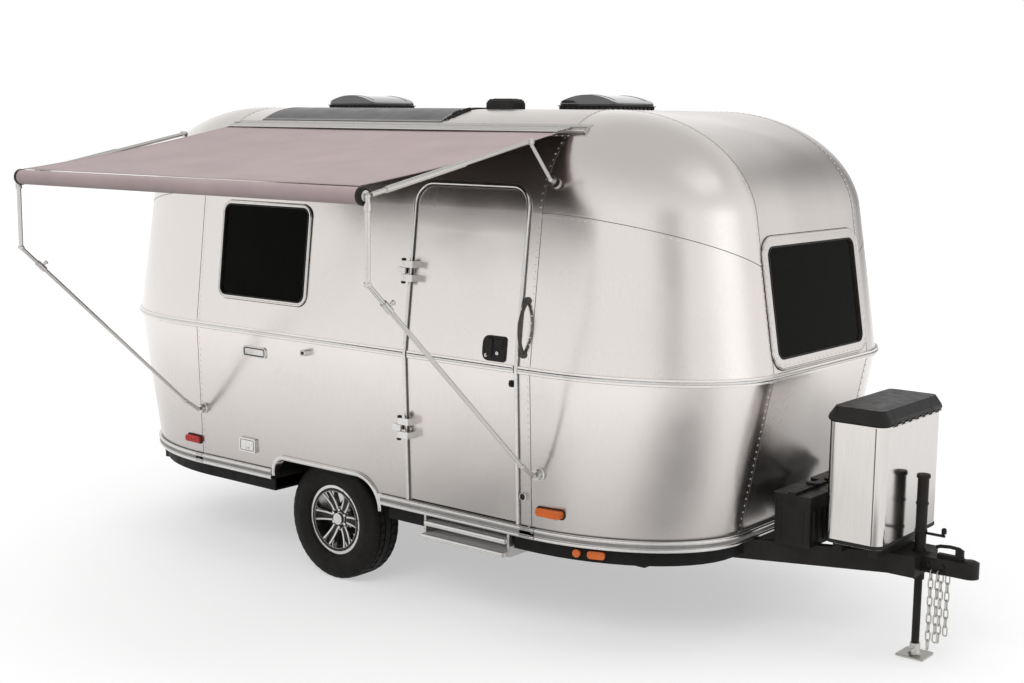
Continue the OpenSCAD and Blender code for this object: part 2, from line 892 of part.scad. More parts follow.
module at_hinge(z) {
    y = wall_y(hinge_z[0]) - (z - hinge_z[0]) * tan(hinge_lean);
    translate([hinge_x, -y - hinge_off, z]) rotate([-hinge_lean, 0, 0]) children();
}

// Hinges: two outer knuckles on the door, the middle one and the pin on the wall
module hinge_knuckle(dir, z0, h, reach) {
    translate([0, 0, z0]) {
        cylinder(r = hinge_r, h = h);
        translate([dir > 0 ? 0 : -reach, -6, 0]) cube([reach, 12, h]);
        translate([dir > 0 ? reach - hinge_foot : -reach, -6, 0]) cube([hinge_foot, hinge_off + 40, h]);
    }
}

module door_hinge_leaves() {
    color(bright) place() difference() {
        for (z = hinge_z) at_hinge(z) difference() {
            for (s = [-1, 1])
                hinge_knuckle(1, s * (knuckle_h + 0.5) - knuckle_h / 2, knuckle_h, hinge_foot + 30);
            translate([0, 0, -far / 2]) cylinder(r = hinge_r / 2 + seat, h = far);
        }
        right_solid(door_x - 300, door_x + door_w);
    }
}

module wall_hinge_leaves() {
    color(bright) place() difference() {
        for (z = hinge_z) at_hinge(z) {
            hinge_knuckle(-1, -knuckle_h / 2, knuckle_h, hinge_foot + 10);
            translate([0, 0, -1.5 * knuckle_h - 6]) cylinder(r = hinge_r / 2, h = 3 * knuckle_h + 12);
        }
        right_solid(door_x - 300, door_x + door_w);
    }
}

// Plates and lamps on the right wall, drawn from the side and cut back to the skin
module on_skin(x, z, proud) {
    difference() {
        translate([x, -wall_y(z) - proud, z]) rotate([90, 0, 0]) translate([0, 0, -proud - 30])
            linear_extrude(proud + 30) children();
        right_solid(x - 300, x + 300);
    }
}

module door_latch() {
    color(dark) place() on_wall(0) translate([latch_x - body_mid, slope_v(latch_z), 0]) {
        linear_extrude(12) rounded_rect(latch_w, latch_h, 14);
        translate([0, -latch_h * 0.12, 12]) linear_extrude(12)
            rounded_rect(latch_w * 0.62, latch_h * 0.5, 12);
        for (x = [-1, 1]) translate([x * latch_w * 0.25, latch_h * 0.3, 12]) cylinder(r = 9, h = 6);
    }
}

module grab_handle() {
    half = grab_l / 2;
    bow_r = (half * half + grab_out * grab_out) / (2 * grab_out);
    bow_a = asin(half / bow_r);
    color(dark) place() on_wall(0) translate([grab_x - body_mid, slope_v(grab_z), 0]) {
        for (s = [-1, 1]) translate([0, s * half, 0]) cylinder(r = 19, h = 8);
        intersection() {
            translate([0, 0, grab_out - bow_r]) rotate([0, -90, 0]) rotate([0, 0, -bow_a])
                rotate_extrude(angle = 2 * bow_a) translate([bow_r, 0]) circle(grab_r);
            translate([-grab_l, -grab_l, 0]) cube(2 * grab_l);
        }
    }
}

module plate(p) {
    on_skin(p[0], p[1], p[5]) rounded_rect(p[2], p[3], p[4]);
}

// Hold-back catch, blank plaque, utility flap and round port on the right wall
module wall_fittings() {
    color(bright) place() {
        for (p = plates) plate(p);
        on_skin(port[0], port[1], port[3]) circle(port[2]);
    }
}

// Awning: rail on the shoulder, cloth, roller, two rafters and two bent legs
module rail_section() {
    difference() {
        translate([0, shoulder_z]) rotate(rail_a) translate([shoulder_r - 4, -rail_foot / 2])
            square([rail_out + 4, rail_foot]);
        half_section(0);
    }
}

module awning_rail() {
    color(bright) place() {
        along_x(leg_x[0] - 30, leg_x[1] + 40) on_right() rail_section();
        for (x = leg_x) {
            on_skin(x, leg_foot_z, foot_proud) circle(knob_r);
            difference() {
                translate([x, -core_y, shoulder_z]) rotate([90 - knob_a, 0, 0])
                    translate([0, 0, shoulder_r - 30]) cylinder(r = knob_r, h = knob_out + 30);
                right_solid(x - 100, x + 100);
            }
        }
    }
}

module awning_cloth() {
    reach = shoulder_r + rail_out + 1;
    inner = [-core_y - reach * cos(rail_a), shoulder_z + reach * sin(rail_a)];
    outer = [-roller_y, roller_z + roller_r + seat];
    run = inner - outer;
    color([0.55, 0.51, 0.50]) place() translate([leg_x[0] + 50, outer[0], outer[1]])
        rotate([atan2(run[1], run[0]), 0, 0]) cube([leg_x[1] - leg_x[0] - 100, norm(run), cloth_t]);
}

// The roller's journals stop short of the legs' end balls
module awning_roller() {
    stop = leg_r + 1 + seat;
    color([0.5, 0.47, 0.46]) place() translate([leg_x[0], -roller_y, roller_z]) rotate([0, 90, 0]) {
        translate([0, 0, 30]) cylinder(r = roller_r, h = leg_x[1] - leg_x[0] - 60);
        translate([0, 0, stop]) cylinder(r = roller_r - 8, h = leg_x[1] - leg_x[0] - 2 * stop);
    }
}

// Rafter: from the leg's top to an elbow, then a strut that meets the knob on the shoulder
module awning_rafters() {
    tip = shoulder_r + knob_out + rafter_r + seat;
    color(bright) place() for (x = leg_x) {
        top = [x, -roller_y + leg_r + 9, roller_z + 6];
        bend = [x, elbow[0], elbow[1]];
        knob = [x, -core_y - tip * cos(knob_a), shoulder_z + tip * sin(knob_a)];
        aim(top, bend) rotate_extrude() {
            square([rafter_r, norm(bend - top)]);
            translate([0, 90]) square([rafter_r + 4, sleeve_l]);
        }
        translate(bend) sphere(rafter_r + 3);
        rod(bend, knob, rafter_r - 2);
        translate(knob) sphere(rafter_r);
    }
}

module awning_legs() {
    ball = leg_r + 1;
    color(bright) place() for (x = leg_x) {
        path = [[x, -roller_y, roller_z], [x, -roller_y, leg_bend_z], [x, leg_knee[0], leg_knee[1]],
            [x, -wall_y(leg_foot_z) - foot_proud - seat - ball, leg_foot_z]];
        slope = (path[2] - path[1]) / norm(path[2] - path[1]);
        for (i = [0:2]) rod(path[i], path[i + 1], i == 1 ? leg_r - 2 : leg_r - 1);
        for (p = path) translate(p) sphere(ball);
        rod(path[1] + slope * 130, path[1] + slope * 190, leg_r + 4);
    }
}

// Roof: vents with arched lids, the solar panel and its wiring
module vent_bases() {
    color(dark) place() for (x = vent_x) {
        translate([x, 0, roof_z]) linear_extrude(vent_h) difference() {
            rounded_rect(vent_s, vent_s, 30);
            square(vent_open, center = true);
        }
        at_vent_hinge(x) hinge_row(vent_knuckles, true)
            translate([-0.4, 0, -barrel_r - 1.5]) cube([barrel_r - 0.2, knuckle_l, barrel_r + 1.5]);
    }
}

module at_vent_hinge(x) {
    translate([x - vent_lid_s / 2 - barrel_r - hinge_gap, 0, roof_z + vent_h + barrel_r + 0.5]) children();
}

// Arched lid: highest across the middle, low at its front and rear edges
module vent_arch(inset) {
    half = vent_lid_s / 2;
    rise = vent_dome - vent_rim;
    arch_r = (half * half + rise * rise) / (2 * rise);
    intersection() {
        translate([0, 0, inset > 0 ? -1 : 0]) linear_extrude(vent_dome + 1)
            rounded_rect(vent_lid_s - 2 * inset, vent_lid_s - 2 * inset, 30 - inset);
        translate([0, 0, vent_dome - arch_r]) rotate([90, 0, 0])
            cylinder(r = arch_r - inset, h = far, center = true, $fn = 256);
    }
}

module vent_lid(x) {
    translate([x, 0, roof_z + vent_h + seat]) difference() {
        vent_arch(0);
        vent_arch(lid_t);
    }
    at_vent_hinge(x) hinge_row(vent_knuckles, false)
        translate([0, 0, -3]) cube([barrel_r + hinge_gap + 2, knuckle_l, 6]);
}

module vent_lid_front() {
    color([0.15, 0.15, 0.15]) place() vent_lid(vent_x[0]);
}

module vent_lid_rear() {
    color([0.15, 0.15, 0.15]) place() vent_lid(vent_x[1]);
}

// Strip of the right shoulder's skin between two angles, a thickness proud of it
module shoulder_strip(x0, x1, a0, a1, t) {
    along_x(x0, x1) on_right() intersection() {
        band(-t, 0);
        difference() {
            shoulder_wedge(a0);
            if (a1 < 90) shoulder_wedge(a1);
        }
    }
}

module solar_panel() {
    color([0.08, 0.08, 0.1]) place() {
        shoulder_strip(panel_x[0], panel_x[1], panel_a, 90, panel_t);
        translate([panel_x[0], -core_y - 1, roof_z])
            cube([panel_x[1] - panel_x[0], panel_flat + 1, panel_t]);
    }
}

// Wires from the panel's front edge up to a box on the roof, with a plug on each
module roof_wiring() {
    x1 = panel_x[1];
    color(dark) place() {
        translate([wire_box[0], -core_y + 10, roof_z]) cube([wire_box[1], wire_box[2], wire_box[3] - 12]);
        translate([wire_box[0] + 12, -core_y + 22, roof_z])
            cube([wire_box[1] - 24, wire_box[2] - 24, wire_box[3]]);
        for (w = wires) {
            shoulder_strip(x1 + w[0], x1 + w[0] + wire_d, w[1], 90, wire_d);
            shoulder_strip(x1 + seat, x1 + w[0] + wire_d, w[1], w[1] + 1, wire_d);
            shoulder_strip(x1 + w[0] - 4, x1 + w[0] + wire_d + 4, w[2], w[2] + 7, 2 * wire_d);
            translate([x1 + w[0], -core_y - 1, roof_z]) cube([wire_d, w[3], wire_d]);
            translate([x1 + w[0], -core_y + w[3] - 9, roof_z]) cube([wire_box[0] - x1, wire_d, wire_d]);
        }
    }
}

// Tongue: gas locker with its lid, bottles, batteries, jack, coupler and chains
module locker_plan(inset) {
    translate([(locker_x0 + locker_x1) / 2, 0])
        rounded_rect(locker_x1 - locker_x0 - 2 * inset, 2 * (locker_y - inset), locker_r - inset);
}

module at_lid_hinge() {
    translate([locker_x1 + lid_lip + barrel_r + hinge_gap, 0, locker_top - 2]) children();
}

module gas_locker() {
    reach = lid_lip + barrel_r + hinge_gap + 1;
    color(bright) place() {
        translate([0, 0, locker_z]) difference() {
            linear_extrude(locker_top - locker_z) locker_plan(0);
            translate([0, 0, locker_t]) linear_extrude(locker_top) locker_plan(locker_t);
        }
        at_lid_hinge() hinge_row(lid_knuckles, true)
            translate([-reach, 0, -barrel_r]) cube([reach, knuckle_l, barrel_r + 1]);
    }
}

module lid_body(inset) {
    hull() {
        linear_extrude(lid_skirt - inset / 2) offset(delta = lid_lip - inset) locker_plan(0, $fn = 24);
        linear_extrude(lid_h - inset) offset(delta = -lid_bevel - inset) locker_plan(0, $fn = 24);
    }
}

module gas_locker_lid() {
    reach = barrel_r + hinge_gap + 1;
    color(dark) place() {
        translate([0, 0, locker_top + seat]) difference() {
            lid_body(0);
            translate([0, 0, -1]) lid_body(8);
        }
        at_lid_hinge() hinge_row(lid_knuckles, false)
            translate([-reach, 0, 0]) cube([reach, knuckle_l, 12]);
    }
}

module gas_cylinders() {
    r = bottle_r;
    color("whitesmoke") place() for (s = [-1, 1])
        translate([(locker_x0 + locker_x1) / 2, s * (r + 14), locker_z + locker_t]) rotate_extrude() {
            square([r - 22, 16]);
            translate([0, 16]) square([r - 40, bottle_h]);
            translate([0, 56]) square([r, bottle_h - 80]);
            translate([r - 40, 56]) intersection() {
                circle(40);
                translate([0, -40]) square([40, 40]);
            }
            translate([r - 40, bottle_h - 24]) intersection() {
                circle(40);
                square([40, 40]);
            }
            translate([60, bottle_h + 16]) square([8, 70]);
            translate([0, bottle_h + 16]) square([16, 46]);
        }
}

module battery_boxes() {
    color(dark) place() for (s = [-1, 1]) translate([battery_x, s * battery_y, floor_z]) {
        linear_extrude(battery_h) rounded_rect(battery_l, battery_w, 14);
        translate([0, 0, battery_h]) linear_extrude(34) rounded_rect(battery_l + 14, battery_w + 14, 18);
        translate([0, 0, battery_h + 34]) linear_extrude(14) rounded_rect(46, battery_w + 14, 6);
    }
}

module jack_tube() {
    foot = floor_z - rail_h - 40;
    color(dark) place() translate([jack_x, 0, 0]) {
        difference() {
            union() {
                translate([0, 0, foot]) cylinder(r = jack_r, h = jack_top - 18 - foot);
                translate([0, 0, floor_z]) cylinder(r = jack_r + 6, h = 14);
            }
            translate([0, 0, foot - 1]) cylinder(r = jack_leg_r + 0.6, h = jack_top - 40 - foot);
        }
        translate([0, 0, jack_top - 18]) cylinder(r = jack_r + 4, h = 18);
        translate([jack_r - 4, 0, crank_z]) rotate([0, 90, 0]) cylinder(r = 7, h = 96);
        translate([jack_r + 86, 0, crank_z]) cylinder(r = 7, h = 36);
        translate([jack_r + 92, 0, crank_z]) sphere(8);
    }
}

module jack_leg() {
    color([0.6, 0.6, 0.6]) place() translate([jack_x, 0, 0]) {
        translate([-jack_foot / 2, -jack_foot / 2, 0]) cube([jack_foot, jack_foot, 8]);
        translate([0, 0, 8]) cylinder(r = jack_leg_r + 5, h = 56);
        translate([0, 0, 8]) cylinder(r = jack_leg_r, h = jack_leg_top - 8);
    }
}

module ball_coupler() {
    z0 = ball_z - 34;
    color(dark) place() difference() {
        union() {
            translate([0, 0, z0]) linear_extrude(coupler_h) {
                translate([apex_x, -coupler_w / 2]) square([coupler_l - coupler_w / 2, coupler_w]);
                translate([coupler_tip - coupler_w / 2, 0]) circle(coupler_w / 2);
            }
            translate([apex_x + 60, -14, z0 + coupler_h]) cube([130, 28, 18]);
            translate([apex_x + 150, -9, z0 + coupler_h]) cube([40, 18, 52]);
        }
        translate([coupler_tip - coupler_w / 2, 0, z0 - 1]) cylinder(r = socket_r, h = 35);
        translate([coupler_tip - coupler_w / 2, 0, ball_z]) sphere(socket_r);
    }
}

// Chain link: a round wire swept round a stadium; each ring has its place and the way it faces
function link_ring(i) = let (
        k = i % link_turns,
        a = 180 * k / (link_turns - 1),
        s = i < link_turns ? 1 : -1)
    [s * link_r * cos(a), s * (link_s / 2 + link_r * sin(a)), s * cos(a), s * sin(a)];

module chain_link() {
    rings = 2 * link_turns;
    n = link_sides;
    points = [for (i = [0:rings - 1], j = [0:n - 1])
        let (p = link_ring(i), w = link_d / 2 * cos(360 * j / n))
        [link_d / 2 * sin(360 * j / n), p[0] + w * p[2], p[1] + w * p[3]]];
    faces = [for (i = [0:rings - 1], j = [0:n - 1]) let (m = (i + 1) % rings, k = (j + 1) % n)
        [i * n + j, i * n + k, m * n + k, m * n + j]];
    polyhedron(points, faces);
}

module safety_chains() {
    pitch = link_s + 2 * link_r - link_d - 4 * seat;
    color([0.7, 0.7, 0.7]) place() for (c = chain_at) translate([c[0], c[1], chain_z])
        for (i = [0:c[2] - 1]) translate([0, 0, -i * pitch]) rotate([0, 0, (i % 2) * 90]) chain_link();
}

module stabilisers() {
    color(dark) place() for (x = stab_x, s = [-1, 1]) translate([x, s * stab_y, belly_z]) {
        translate([-40, -40, -18]) cube([80, 80, 18]);
        translate([420, -30, -18]) cube([50, 60, 18]);
        translate([-60, -22, -62]) cube([560, 44, 44]);
    }
}

module entry_step() {
    color([0.6, 0.6, 0.6]) place() {
        for (x = [step_x, step_x + step_w - 14]) translate([x, -foot_y + 10, step_low_z])
            cube([14, foot_y - step_bay_y - 10, floor_z - step_low_z]);
        for (t = step_treads) translate([step_x + 14, -foot_y - t[0], step_low_z + t[1]])
            cube([step_w - 28, step_d, 26]);
    }
}

// Local frame on the skirt's corner, with z out of it
module on_skirt(a) {
    rx = foot_rx(skirt_inset);
    r = foot_r(skirt_inset);
    translate([body_mid + foot_half(skirt_inset) - rx * (1 - sin(a)), -core_y - r * cos(a), skirt_lamp_z])
        rotate([90, 0, atan2(sin(a) / rx, cos(a) / r)]) children();
}

// Right front corner below the belt, solid, to cut the side lamp back to the skin
module corner_solid() {
    raked(seam_back) end_run(seam_back) intersection() {
        half_section(0);
        translate([0, belt_z - far]) square(far);
    }
}

module amber_lamps() {
    p = amber_lamp;
    color("orange") place() {
        difference() {
            translate([p[0], -wall_y(p[1]) - p[5], p[1]]) rotate([90, 0, 0]) translate([0, 0, -p[5] - 30])
                linear_extrude(p[5] + 30) rounded_rect(p[2], p[3], p[4]);
            corner_solid();
        }
        right_and_left() for (l = skirt_lamps) difference() {
            on_skirt(l[0]) translate([0, 0, -12]) linear_extrude(12 + l[4]) rounded_rect(l[1], l[2], l[3]);
            translate([0, 0, belly_z]) linear_extrude(skirt_h) foot_plan(skirt_inset);
        }
    }
}

module red_lamps() {
    color("red") place() {
        plate(red_lamp);
        for (s = [-1, 1]) translate([frame_rear - bumper_t, s * (bumper_y - 120), floor_z - rail_h / 2])
            rotate([0, -90, 0]) linear_extrude(tail_lamp[3])
                rounded_rect(tail_lamp[1], tail_lamp[0], tail_lamp[2]);
    }
}

shell_side_right();
shell_side_left();
shell_roof();
end_shell_front();
end_shell_rear();
end_foot_front();
end_foot_rear();
cabin_floor();
belt_moulding();
rub_rail();
arch_trims();
wheel_housings();
underbelly();
chassis_frame();
axle();
rim_right();
tyre_right();
rim_left();
tyre_left();
window_frames();
window_glass();
door_leaf();
door_latch();
door_hinge_leaves();
wall_hinge_leaves();
door_frame();
grab_handle();
wall_fittings();
awning_rail();
awning_cloth();
awning_roller();
awning_rafters();
awning_legs();
vent_bases();
vent_lid_front();
vent_lid_rear();
solar_panel();
roof_wiring();
gas_locker();
gas_locker_lid();
gas_cylinders();
battery_boxes();
jack_tube();
jack_leg();
ball_coupler();
safety_chains();
stabilisers();
entry_step();
amber_lamps();
red_lamps();
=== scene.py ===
import json
import random
from math import acos, asin, atan, atan2, copysign, cos, degrees, hypot, pi, radians, sin, sqrt, tan

import bpy
from mathutils import Matrix, Vector


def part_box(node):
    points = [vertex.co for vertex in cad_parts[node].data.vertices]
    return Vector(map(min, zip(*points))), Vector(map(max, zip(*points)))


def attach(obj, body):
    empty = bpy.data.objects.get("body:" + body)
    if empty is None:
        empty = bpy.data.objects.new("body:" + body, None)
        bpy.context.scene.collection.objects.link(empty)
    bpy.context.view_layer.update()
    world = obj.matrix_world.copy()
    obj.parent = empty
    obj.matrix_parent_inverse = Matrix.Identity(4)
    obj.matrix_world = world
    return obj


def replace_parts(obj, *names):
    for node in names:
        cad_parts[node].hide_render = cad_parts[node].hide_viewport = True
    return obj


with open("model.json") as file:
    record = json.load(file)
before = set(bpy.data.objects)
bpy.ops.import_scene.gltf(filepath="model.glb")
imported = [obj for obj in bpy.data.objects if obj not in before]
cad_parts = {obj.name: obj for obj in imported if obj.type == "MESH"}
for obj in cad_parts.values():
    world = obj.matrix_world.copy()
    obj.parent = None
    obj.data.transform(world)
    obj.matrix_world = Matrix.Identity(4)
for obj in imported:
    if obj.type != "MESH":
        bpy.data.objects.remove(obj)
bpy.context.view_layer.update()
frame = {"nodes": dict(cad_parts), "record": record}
nodes = frame["nodes"]
scene = bpy.context.scene
print("frame loaded:", len(nodes), "nodes")

# the drawing's own axes, in metres: x ahead of the wheels, y from the centre line
couplerTip = 3.430
beltLow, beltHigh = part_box("belt_moulding")
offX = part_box("ball_coupler")[1].x - couplerTip
offY = (beltLow.y + beltHigh.y) / 2
ahead, leftward, upward = Vector((1, 0, 0)), Vector((0, 1, 0)), Vector((0, 0, 1))


def spot(x, y, z):
    return Vector((x + offX, y + offY, z))


def between(a, b, count):
    return [a + (b - a) * i / count for i in range(count + 1)]


def quarter(count):
    # angles of a quarter turn
    return [radians(a) for a in between(0, 90, count)]


def addObject(name, data):
    item = bpy.data.objects.new(name, data)
    scene.collection.objects.link(item)
    return item


view = {"eye": (6.061, -6.920, 2.654), "aim": (0.532, -0.055, 1.344), "roll": 0.011, "lens": 52.414, "film": 36,
        "far": 200}


def setCamera():
    data = bpy.data.cameras.new("photoCamera")
    data.lens = view["lens"]
    data.sensor_width = view["film"]
    data.clip_end = view["far"]
    eye = spot(*view["eye"])
    back = (eye - spot(*view["aim"])).normalized()
    right = upward.cross(back).normalized()
    tilted = right * cos(view["roll"]) + back.cross(right) * sin(view["roll"])
    turn = Matrix((tilted, back.cross(tilted), back)).transposed().to_4x4()
    camera = addObject("photoCamera", data)
    camera.matrix_world = Matrix.Translation(eye) @ turn
    scene.camera = camera
    scene.view_settings.view_transform = "Standard"


setCamera()


def nodeMaterial(name):
    mat = bpy.data.materials.new(name)
    mat.use_nodes = True
    return mat, mat.node_tree, mat.node_tree.nodes["Principled BSDF"]


def feed(tree, node, inputs):
    # an output is linked, a plain value is set on the socket itself
    for name, value in inputs.items():
        if isinstance(value, bpy.types.NodeSocket):
            tree.links.new(value, node.inputs[name])
        else:
            node.inputs[name].default_value = value


def add(tree, kind, inputs, out, operation=None):
    node = tree.nodes.new(kind)
    if operation:
        node.operation = operation
    feed(tree, node, inputs)
    return node.outputs[out]


def coords(tree, scale=(1, 1, 1)):
    source = add(tree, "ShaderNodeTexCoord", {}, "Object")
    return add(tree, "ShaderNodeMapping", {"Scale": scale, "Vector": source}, "Vector")


def noise(tree, scale, stretch=(1, 1, 1), detail=3, rough=0.55):
    inputs = {"Scale": scale, "Detail": detail, "Roughness": rough, "Vector": coords(tree, stretch)}
    return add(tree, "ShaderNodeTexNoise", inputs, "Fac")


def ramp(tree, source, low, high, a, b):
    inputs = {"From Min": low, "From Max": high, "To Min": a, "To Max": b, "Value": source}
    return add(tree, "ShaderNodeMapRange", inputs, "Result")


def tint(tree, source, dark, light, low=0.3, high=0.7):
    node = tree.nodes.new("ShaderNodeValToRGB")
    for stop, at, colour in zip(node.color_ramp.elements, (low, high), (dark, light)):
        stop.position = at
        stop.color = (*colour, 1)
    feed(tree, node, {"Fac": source})
    return node.outputs["Color"]


def height(tree):
    return add(tree, "ShaderNodeSeparateXYZ", {"Vector": coords(tree)}, "Z")


def shade(tree, colour, factor):
    return add(tree, "ShaderNodeVectorMath", {0: colour, "Scale": factor}, "Vector", "SCALE")


def times(tree, a, b):
    return add(tree, "ShaderNodeMath", {0: a, 1: b}, "Value", "MULTIPLY")


def bump(tree, shader, source, strength, distance, below=None):
    inputs = {"Strength": strength, "Distance": distance, "Height": source}
    if below:
        inputs["Normal"] = below
    normal = add(tree, "ShaderNodeBump", inputs, "Normal")
    feed(tree, shader, {"Normal": normal})
    return normal


def plainMaterial(name, dark, light, rough, grain, depth, gloss=0.5, spread=0.08, coat=0.0):
    # one finish: mottled colour, uneven gloss and a fine grain
    mat, tree, shader = nodeMaterial(name)
    uneven = ramp(tree, noise(tree, 23), 0.3, 0.7, rough - spread, rough + spread)
    feed(tree, shader, {"Base Color": tint(tree, noise(tree, 9), dark, light), "Roughness": uneven,
                        "Specular IOR Level": gloss, "Coat Weight": coat})
    bump(tree, shader, noise(tree, grain, detail=2), 0.35, depth)
    return mat


def sheetMetal(name, dark, light, low, high, stretch, wave=0.0, pull=0.0, footShade=1.0):
    # rolled metal: long fine grain, uneven gloss, soft dents, and where asked painted shade that darkens the foot
    mat, tree, shader = nodeMaterial(name)
    grain = noise(tree, 60, stretch, detail=4, rough=0.7)
    colour = tint(tree, grain, dark, light, 0.25, 0.75)
    # painted shade: the colour darkens towards the foot, standing in for the darker reflection low on the walls
    if footShade < 1:
        colour = shade(tree, colour, ramp(tree, height(tree), 0.58, 1.36, footShade, 1.0))
    uneven = ramp(tree, noise(tree, 2.2, detail=2), 0.3, 0.7, low, high)
    feed(tree, shader, {"Base Color": colour, "Metallic": 1, "Anisotropic": pull, "Anisotropic Rotation": 0.25,
                        "Roughness": uneven})
    under = bump(tree, shader, noise(tree, 1.7, (1, 1, 0.8), detail=1), 1.0, wave) if wave else None
    bump(tree, shader, grain, 0.12, 0.0004, under)
    return mat


def clothMaterial():
    # woven acrylic canopy: fine crossed threads over a soft mottle
    mat, tree, shader = nodeMaterial("canopyCloth")
    threads = []
    for way in "XY":
        wave = tree.nodes.new("ShaderNodeTexWave")
        wave.bands_direction = way
        feed(tree, wave, {"Scale": 260, "Vector": coords(tree)})
        threads.append(wave.outputs["Fac"])
    mottle = tint(tree, noise(tree, 3.5, detail=4), (0.335, 0.258, 0.262), (0.39, 0.302, 0.306))
    feed(tree, shader, {"Base Color": mottle, "Roughness": 0.85, "Sheen Weight": 0.15})
    bump(tree, shader, times(tree, *threads), 0.25, 0.0006)
    return mat


def solarMaterial():
    # dark cells in rows under a clear sheet
    mat, tree, shader = nodeMaterial("solarSheet")
    cells = tree.nodes.new("ShaderNodeTexBrick")
    cells.offset = 0
    feed(tree, cells, {"Scale": 1, "Brick Width": 0.16, "Row Height": 0.16, "Mortar Size": 0.003,
                       "Vector": coords(tree),
                       "Color1": (0.060, 0.057, 0.060, 1), "Color2": (0.070, 0.067, 0.068, 1),
                       "Mortar": (0.10, 0.098, 0.10, 1)})
    feed(tree, shader, {"Base Color": cells.outputs["Color"],
                        "Roughness": ramp(tree, noise(tree, 8), 0.3, 0.7, 0.34, 0.46)})
    bump(tree, shader, noise(tree, 5), 0.3, 0.002)
    return mat


def deckMaterial():
    # plywood, near black below its top face, on its sides and underside
    mat, tree, shader = nodeMaterial("plyDeck")
    wood = tint(tree, noise(tree, 12, (0.3, 3, 3), detail=4), (0.26, 0.18, 0.11), (0.40, 0.29, 0.18))
    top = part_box("cabin_floor")[1].z
    darkBelow = shade(tree, wood, ramp(tree, height(tree), top - 0.004, top - 0.002, 0.05, 1.0))
    feed(tree, shader, {"Base Color": darkBelow, "Roughness": 0.6, "Specular IOR Level": 0.25})
    bump(tree, shader, noise(tree, 60), 0.3, 0.0006)
    return mat


# name, dark and light colour, least and most roughness, stretch of the grain, dents, brushing, painted shade of the
# foot
metals = {
    "skin": ("rolledAluminium", (0.70, 0.66, 0.632), (0.81, 0.768, 0.738), 0.20, 0.29, (9, 9, 0.05), 0.010, 0.55,
             0.62),
    "bright_trim": ("brightTrim", (0.58, 0.565, 0.55), (0.70, 0.685, 0.67), 0.16, 0.26, (1, 1, 1)),
    "polished_wrap": ("polishedWrap", (0.58, 0.56, 0.54), (0.69, 0.665, 0.645), 0.09, 0.16, (6, 6, 0.1), 0.006),
    "awning_metal": ("awningTube", (0.54, 0.525, 0.505), (0.66, 0.64, 0.62), 0.24, 0.36, (2, 2, 2)),
    "wheel": ("castAlloy", (0.55, 0.54, 0.53), (0.74, 0.73, 0.72), 0.18, 0.30, (2, 2, 2)),
    "zinc": ("zincPlate", (0.42, 0.41, 0.39), (0.62, 0.60, 0.56), 0.28, 0.42, (2, 2, 2)),
    "step_metal": ("stepMetal", (0.46, 0.45, 0.44), (0.62, 0.61, 0.60), 0.3, 0.45, (0.2, 6, 6)),
}
# name, dark and light colour, roughness, scale and depth of the grain, gloss, spread of the roughness, coat
paints = {
    "black_steel": ("blackSteel", (0.010, 0.0085, 0.0075), (0.019, 0.0165, 0.0145), 0.46, 180, 0.0006, 0.20),
    "black_sheet": ("blackSheet", (0.007, 0.007, 0.0065), (0.012, 0.0115, 0.011), 0.6, 120, 0.0008, 0.15),
    "tyre": ("tyreRubber", (0.0075, 0.0068, 0.006), (0.013, 0.012, 0.0106), 0.62, 260, 0.0004, 0.16),
    "dark_glass": ("darkGlass", (0.004, 0.0042, 0.0032), (0.006, 0.0062, 0.0048), 0.08, 6, 0.0, 0.022, 0.03),
    "black_plastic": ("blackPlastic", (0.009, 0.0078, 0.007), (0.017, 0.015, 0.0135), 0.42, 420, 0.0003, 0.20),
    "smoked_lid": ("smokedLid", (0.014, 0.0135, 0.013), (0.022, 0.021, 0.0205), 0.08, 40, 0.0001, 1.0, 0.03, 1.0),
    "locker_cover": ("lockerCover", (0.012, 0.011, 0.0105), (0.020, 0.0185, 0.0175), 0.36, 350, 0.0004, 0.22),
    "gas_bottle": ("bottlePaint", (0.56, 0.56, 0.55), (0.66, 0.66, 0.65), 0.35, 90, 0.0004),
    "amber": ("amberLens", (0.60, 0.11, 0.010), (0.74, 0.16, 0.018), 0.24, 60, 0.0002, 0.4, 0.06, 0.2),
    "red": ("redLens", (0.40, 0.012, 0.010), (0.54, 0.02, 0.016), 0.24, 60, 0.0002, 0.4, 0.06, 0.2),
    # painted shade: the canopy's lower face, darker than its cloth
    "clothUnderShade": ("clothUnderShade", (0.050, 0.042, 0.040), (0.066, 0.056, 0.054), 0.85, 300, 0.0005, 0.1),
    # painted shade: thin dark lines along seams, joints and the edges of mouldings
    "shade_line": ("seamShadeLine", (0.10, 0.095, 0.09), (0.17, 0.16, 0.15), 0.5, 200, 0.0002, 0.3),
    "gasket": ("gasketRubber", (0.010, 0.010, 0.0095), (0.018, 0.0175, 0.017), 0.55, 260, 0.0003, 0.25),
    "vinyl": ("vinylInsert", (0.20, 0.19, 0.185), (0.27, 0.26, 0.25), 0.45, 200, 0.0002, 0.4),
    "greyMoulding": ("greyMoulding", (0.045, 0.040, 0.036), (0.065, 0.058, 0.053), 0.40, 300, 0.0003, 0.35),
    # painted shade for the wheel pockets and lip ring, and the dark hub ring round the nuts
    "wheelShadeAndHubPaint": ("wheelShadeAndHubPaint", (0.014, 0.013, 0.012), (0.026, 0.024, 0.022), 0.45, 200, 0.0004, 0.25),
}
finish = {"deck": deckMaterial(), "awning_cloth": clothMaterial(), "solar_sheet": solarMaterial()}
finish.update({slot: sheetMetal(*row) for slot, row in metals.items()})
finish.update({slot: plainMaterial(*row) for slot, row in paints.items()})

for entry in frame["record"]["subparts"]:
    mesh = nodes[entry["node"]].data
    mesh.materials.clear()
    mesh.materials.append(finish[entry["material_slot"]])
nodes["grab_handle"].data.materials[0] = finish["greyMoulding"]
for name in ("belt_moulding", "window_frames"):
    nodes[name].data.materials[0] = finish["skin"]  # the same sheet as the wall in the photo
print("finishes ready:", len(finish))


